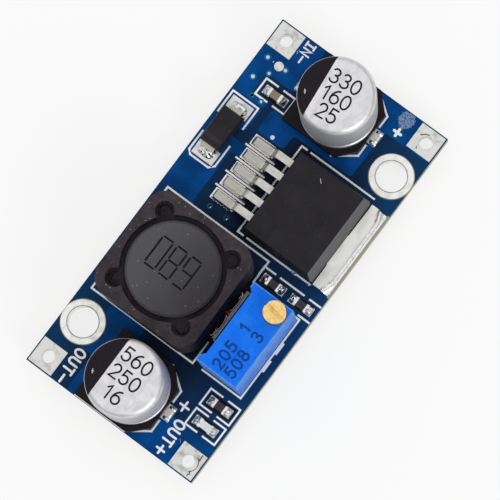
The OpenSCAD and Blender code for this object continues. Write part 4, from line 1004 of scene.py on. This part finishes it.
def solder_capacitors():
    shape = Shape()
    seed = 20
    for node in ("input_can_leads", "output_can_leads"):
        leads = Box(node)
        for s, y in ((-1, leads.lo.y), (1, leads.hi.y)):
            for side in (-1, 1):
                mound(shape, (leads.mid.x + side*0.6, y - s*0.12), (0.24, 0.42), LAND - 0.01, 0.2, seed,
                    lean=(-side*0.3, 0), rough=0.35)
                seed += 1
            mound(shape, (leads.mid.x, y + s*0.09), (0.62, 0.14), LAND - 0.01, 0.17, seed, lean=(0, -s*0.4))
    shape.piece("solder_on_capacitors", "solder", "solder", stands_for=("solder_capacitors",), smooth=80)


def solder_diode():
    """Uneven drops where each diode lead meets its land, with dark drops beside the body that are painted shade."""
    shape, hollow = Shape(), Shape()
    leads = Box("diode_leads")
    body = Box("diode_body")
    y = leads.mid.y
    for s, x, face, seed in ((-1, leads.lo.x, body.lo.x, 31), (1, leads.hi.x, body.hi.x, 37)):
        mound(shape, (x + s*0.1, y + 0.05), (0.66, 0.86), LAND - 0.01, 0.46, seed, 2.6, (-s*0.5, 0.1), 0.45, 16, 56)
        mound(shape, (x + s*0.3, y - 0.5), (0.4, 0.46), LAND - 0.01, 0.3, seed + 3, 2.4, (-s*0.3, 0), 0.4, 12, 40)
        mound(shape, (x + s*0.02, y + 0.75), (0.34, 0.3), LAND - 0.01, 0.36, seed + 5, 2.2, (-s*0.2, 0), 0.4, 10, 36)
        # Dark drops at each end face of the body: painted shade where lead, body and solder meet
        for u, v, w in ((0.16, 0.62, 0.22), (0.3, 0.3, 0.17), (0.14, 0.02, 0.2), (0.2, -0.75, 0.16)):
            mound(hollow, (face + s*u, y + v), (w, w*0.8), LAND + 0.3, 0.3, seed + 7, 2.2, rough=0.3, rings=6, sides=20)
    shape.piece("solder_on_diode", "solder", "solder", stands_for=("solder_diode",), smooth=80)
    hollow.piece("diode_painted_shade", "seam_shade", "solder", smooth=80)


def hollow_fillet(shape, rows_xy, z_face, z_land, n=6):
    """A hollow fillet between a face and a land: each row runs from a point on the face to the land's edge."""
    lines = []
    for (ax, ay), (bx, by) in rows_xy:
        line = []
        for j in range(n + 1):
            t = j/n
            line.append((ax + (bx - ax)*t, ay + (by - ay)*t, z_land + (z_face - z_land)*(1 - t)**2.2))
        lines.append(line)
    shape.grid(lines)


def solder_regulator():
    """Hollow fillets around the feet of the leads, and a long one along the outer edge of the tab."""
    leads = Box("regulator_leads")
    tab = Box("regulator_tab")
    body = Box("regulator_body")
    shape = Shape()
    pitch = (leads.size.x - LEAD_WIDTH)/4
    tip = leads.lo.y
    for i in range(5):
        x = leads.lo.x + LEAD_WIDTH/2 + i*pitch
        h, out = LEAD_WIDTH/2, 0.24
        ahead = 0.34 + 0.05*math.sin(2*i + 1)
        rows = [((x - h, tip + 2.3), (x - h - 0.03, tip + 2.3))]
        rows += [((x - h, tip + 2.3 - 0.2*k), (x - h - out*(1 + 0.12*math.sin(3*k + i)), tip + 2.3 - 0.2*k))
            for k in range(1, 11)]
        rows += [((x + u*h, tip), (x + u*(h + out)*0.98, tip - ahead)) for u in (-1, -0.5, 0, 0.5, 1)]
        rows += [((x + h, tip + 0.3 + 0.2*k), (x + h + out*(1 + 0.12*math.sin(3*k - i)), tip + 0.3 + 0.2*k))
            for k in range(10)]
        rows += [((x + h, tip + 2.3), (x + h + 0.03, tip + 2.3))]
        hollow_fillet(shape, rows, LAND + 0.3, LAND - 0.02)
    # Along the tab the fillet follows its outer edge, with the two cut corners, and runs out towards the board's edge
    half = tab.size.x/2
    cut_x, cut_y = 1.2, 0.4
    rows = []
    for k in range(81):
        x = -half + 2*half*k/80
        y = tab.hi.y - cut_y*max(0.0, abs(x) - half + cut_x)/cut_x
        reach = board.hi.y - 0.24 - y + 0.03*lump(x, 0, 0, 0.8, 5)
        rows.append(((body.mid.x + x, y), (body.mid.x + x, y + reach)))
    hollow_fillet(shape, rows, LAND + 0.5, LAND, 8)
    shape.piece("solder_on_regulator", "solder", "solder", stands_for=("solder_regulator",), smooth=80)


def regulator_marks():
    """The painted shadow line where the moulding meets the tab, flux with painted shade between the leads, and small
    scratches and splashes.
    """
    body = Box("regulator_body")
    tab = Box("regulator_tab")
    leads = Box("regulator_leads")
    plate_z = LAND + TAB_THICKNESS
    seam_shadow, flux, glint = Shape(), Shape(), Shape()
    y = body.hi.y
    x0, x1 = tab.lo.x + 0.02, tab.hi.x - 0.02
    # Painted shadow: a dark line on the tab along the foot of the moulding, where the gap between them lies in shade
    seam_shadow.stroke([(x0, y + 0.05), (x0 + 1.3, y + 0.06), (x0 + 2.6, y + 0.04), (x0 + 3.9, y + 0.02)], 0.15,
        plate_z, plate_z + 0.006)
    seam_shadow.stroke([(x0 + 3.9, y + 0.02), (x1 - 2.4, y + 0.01)], 0.05, plate_z, plate_z + 0.006)
    seam_shadow.stroke([(x1 - 2.4, y + 0.04), (x1 - 1.2, y + 0.05), (x1, y + 0.05)], 0.14, plate_z, plate_z + 0.006)
    seam_shadow.piece("tab_seam_shadow", "seam_shade", "epoxy_black")
    draw = random.Random(8)
    pitch = (leads.size.x - LEAD_WIDTH)/4
    for i in range(4):
        x = leads.lo.x + LEAD_WIDTH/2 + (i + 0.5)*pitch
        half = (pitch - LEAD_WIDTH)/2 - 0.16
        low, high = leads.lo.y - 0.15, leads.lo.y + 2.75
        steps = 18
        left = [(x - half - draw.uniform(-0.05, 0.07), low + (high - low)*k/steps) for k in range(steps + 1)]
        right = [(x + half + draw.uniform(-0.05, 0.07), low + (high - low)*k/steps) for k in range(steps + 1)]
        # Sheets of flux and painted shade between the leads
        flux.plate([left[::-1] + right], TOP, TOP + 0.02)
    flux.piece("lead_flux_and_shade", "flux_and_shade", "solder")
    top = body.hi.z
    glint.stroke([(-10.4, 2.95), (-10.05, 3.3)], 0.06, top, top + 0.004)
    for x, y, r in ((-1.42, 6.2, 0.22), (-1.4, 5.85, 0.16), (-1.35, 8.0, 0.13), (-1.4, 7.75, 0.1)):
        mound(glint, (x, y), (r*0.8, r), TOP, 0.12, seed=int(x*10 + y), squareness=2, rough=0.5, rings=6, sides=20)
    glint.piece("regulator_glints", "bead_tin", "solder", smooth=80)


def solder_inductor():
    """A bead of solder along each terminal of the inductor, and the drops that join the wire to its lip."""
    shape = Shape()
    terminals = Box("choke_terminals")
    shield = Box("choke_shield")
    lip_z = Box("choke_base").hi.z
    for s, y, face in ((-1, terminals.lo.y, shield.lo.y), (1, terminals.hi.y, shield.hi.y)):
        half = terminals.size.x/2 - 0.1
        rows = []
        for k in range(49):
            x = terminals.mid.x - half + 2*half*k/48
            reach = 0.2 + 0.03*lump(x, y, 0, 0.6, 9)
            rows.append(((x, y), (x, y + s*reach)))
        hollow_fillet(shape, rows if s > 0 else rows[::-1], LAND + 0.5, LAND, 6)
        inner = (y + face)/2
        for x, wide, seed in ((-2.1, 0.5, 3), (-0.25, 0.6, 4), (0.45, 0.35, 6), (2.2, 0.55, 8)):
            mound(shape, (terminals.mid.x + x, inner - s*0.02), (wide, 0.3), lip_z - 0.02, 0.3, seed,
                squareness=2.2, lean=(0, -s*0.2), rough=0.7, rings=10, sides=40)
    shape.piece("solder_on_inductor", "solder", "solder", stands_for=("solder_inductor",), smooth=80)


def wire_bows():
    """Fine bows of enamelled wire that come from the coil's ends and lie on each tongue of the inductor."""
    shield = Box("choke_shield")
    terminals = Box("choke_terminals")
    z = Box("choke_base").hi.z + 0.16
    shape = Shape()
    for s, face, lip in ((-1, shield.lo.y, terminals.lo.y), (1, shield.hi.y, terminals.hi.y)):
        for x, wide in ((-1.35, 1.15), (1.5, 1.3)):
            bow = [Vector((shield.mid.x + x + wide*math.cos(math.radians(a)),
                face + s*(0.12 + (abs(lip - face) - 0.42)*math.sin(math.radians(a))),
                z + 0.12*math.sin(math.radians(a)))) for a in range(0, 181, 12)]
            tube(shape, bow, 0.1)
    shape.piece("wire_bows", "bare_copper", "copper_wire", smooth=60)


def tube(shape, path, radius, sides=10):
    """A round wire along a path of points that stays near one level."""
    rows = []
    for i, p in enumerate(path):
        d = (path[min(i + 1, len(path) - 1)] - path[max(i - 1, 0)]).normalized()
        side = d.cross(Vector((0, 0, 1))).normalized()
        up = side.cross(d)
        rows.append([p + radius*(side*math.cos(a) + up*math.sin(a)) for a in
            (2*math.pi*k/sides for k in range(sides))])
    shape.grid(rows, closed=True)
    shape.add(rows[0], [list(range(sides))[::-1]])
    shape.add(rows[-1], [list(range(sides))])


def inductor_resin_and_shade():
    """Dark resin, painted darker as the shade deep in the pockets: a low swell in each corner pocket, and a ring deep
    in the gap around the core that is painted shade of the gap.
    """
    shield = Box("choke_shield")
    glue = Box("choke_adhesive")
    core = Box("choke_core")
    shape = Shape()
    pocket_at = (glue.size.x/2 - POCKET_RADIUS)
    for k in range(4):
        a = math.radians(45 + 90*k)
        c = (shield.mid.x + math.copysign(pocket_at, math.cos(a)), shield.mid.y + math.copysign(pocket_at, math.sin(a)))
        mound(shape, c, (0.8, 0.8), glue.hi.z - 0.01, 0.16, seed=60 + k, squareness=2,
            lean=(0.2*math.cos(a), 0.2*math.sin(a)), rough=1.2, rings=12, sides=40)
    middle = (shield.mid.x, shield.mid.y)
    # Painted shade: a dark ring in the gap around the core, where there is only shade
    ring_z = core.hi.z - 0.75
    shape.plate([circle(*middle, core.size.x/2 + 0.5, 96), circle(*middle, core.size.x/2 + 0.04, 96)],
        ring_z - 0.2, ring_z)
    shape.piece("inductor_resin_and_shade", "resin_shade", "adhesive", smooth=60)


tented_vias()
lacquer_marks()
pad_marks()
ring_borders()
dark_fields()
hole_edges()
solder_chips()
solder_capacitors()
solder_diode()
solder_regulator()
regulator_marks()
solder_inductor()
wire_bows()
inductor_resin_and_shade()


# ---------------------------------------------------------------- studio

def paper():
    """White paper that the camera, and what mirrors it, sees as white, with a part of its shading kept."""
    f = Finish("paper", rgb(252, 252, 252), 0.9, specular=0.1)
    glow = f.node("ShaderNodeEmission")
    glow.inputs["Color"].default_value = (1, 1, 1, 1)
    glow.inputs["Strength"].default_value = 1
    path = f.node("ShaderNodeLightPath")
    seen = f.math("MAXIMUM", path.outputs["Is Camera Ray"], path.outputs["Is Glossy Ray"])
    seen = f.math("MAXIMUM", seen, path.outputs["Is Transmission Ray"])
    blend = f.node("ShaderNodeMixShader")
    f.link(f.math("MULTIPLY", seen, 0.72), blend.inputs[0])
    f.link(f.shader.outputs[0], blend.inputs[1])
    f.link(glow.outputs[0], blend.inputs[2])
    f.link(blend.outputs[0], f.tree.nodes["Material Output"].inputs["Surface"])
    return f.material


def studio():
    """A pale floor under the lowest pin, a soft light overhead and a smaller one from the +Y side."""
    floor_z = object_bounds()[0].z
    half = 4.0
    mesh = bpy.data.meshes.new("floor")
    mesh.from_pydata([(-half, -half, floor_z), (half, -half, floor_z), (half, half, floor_z), (-half, half, floor_z)],
        [], [(0, 1, 2, 3)])
    floor = bpy.data.objects.new("floor", mesh)
    mesh.materials.append(paper())
    bpy.context.scene.collection.objects.link(floor)

    def softbox(name, place, size, radiance):
        light = bpy.data.lights.new(name, "AREA")
        light.shape = "SQUARE"
        light.size = size
        light.energy = radiance*size*size*math.pi
        obj = bpy.data.objects.new(name, light)
        obj.location = place
        obj.rotation_euler = Vector(place).to_track_quat("Z", "Y").to_euler()
        bpy.context.scene.collection.objects.link(obj)

    softbox("overhead", (-0.1, -0.15, 0.85), 2.4, 0.45)
    softbox("side", (0.35, 1.1, 0.75), 0.6, 4.0)

    # The room lights the object at 0.45, and the camera sees it as white
    world = bpy.data.worlds.new("room")
    world.use_nodes = True
    background = world.node_tree.nodes["Background"]
    background.inputs["Color"].default_value = (1, 1, 1, 1)
    path = world.node_tree.nodes.new("ShaderNodeLightPath")
    strength = world.node_tree.nodes.new("ShaderNodeMapRange")
    strength.inputs["To Min"].default_value = 0.45
    world.node_tree.links.new(path.outputs["Is Camera Ray"], strength.inputs["Value"])
    world.node_tree.links.new(strength.outputs["Result"], background.inputs["Strength"])
    bpy.context.scene.world = world


def camera():
    """Looks down on the board from about a third of a metre, with the input end at the top right."""
    lens = bpy.data.cameras.new("camera")
    lens.sensor_width = 36
    lens.lens = 233.93
    lens.clip_start = 0.01
    obj = bpy.data.objects.new("camera", lens)
    obj.location = (0.02107, 0.03759, 0.32922)
    obj.rotation_euler = [math.radians(a) for a in (6.836, 2.818, 126.876)]
    bpy.context.scene.collection.objects.link(obj)
    bpy.context.scene.camera = obj


studio()
camera()
bpy.context.scene.view_settings.view_transform = "Standard"
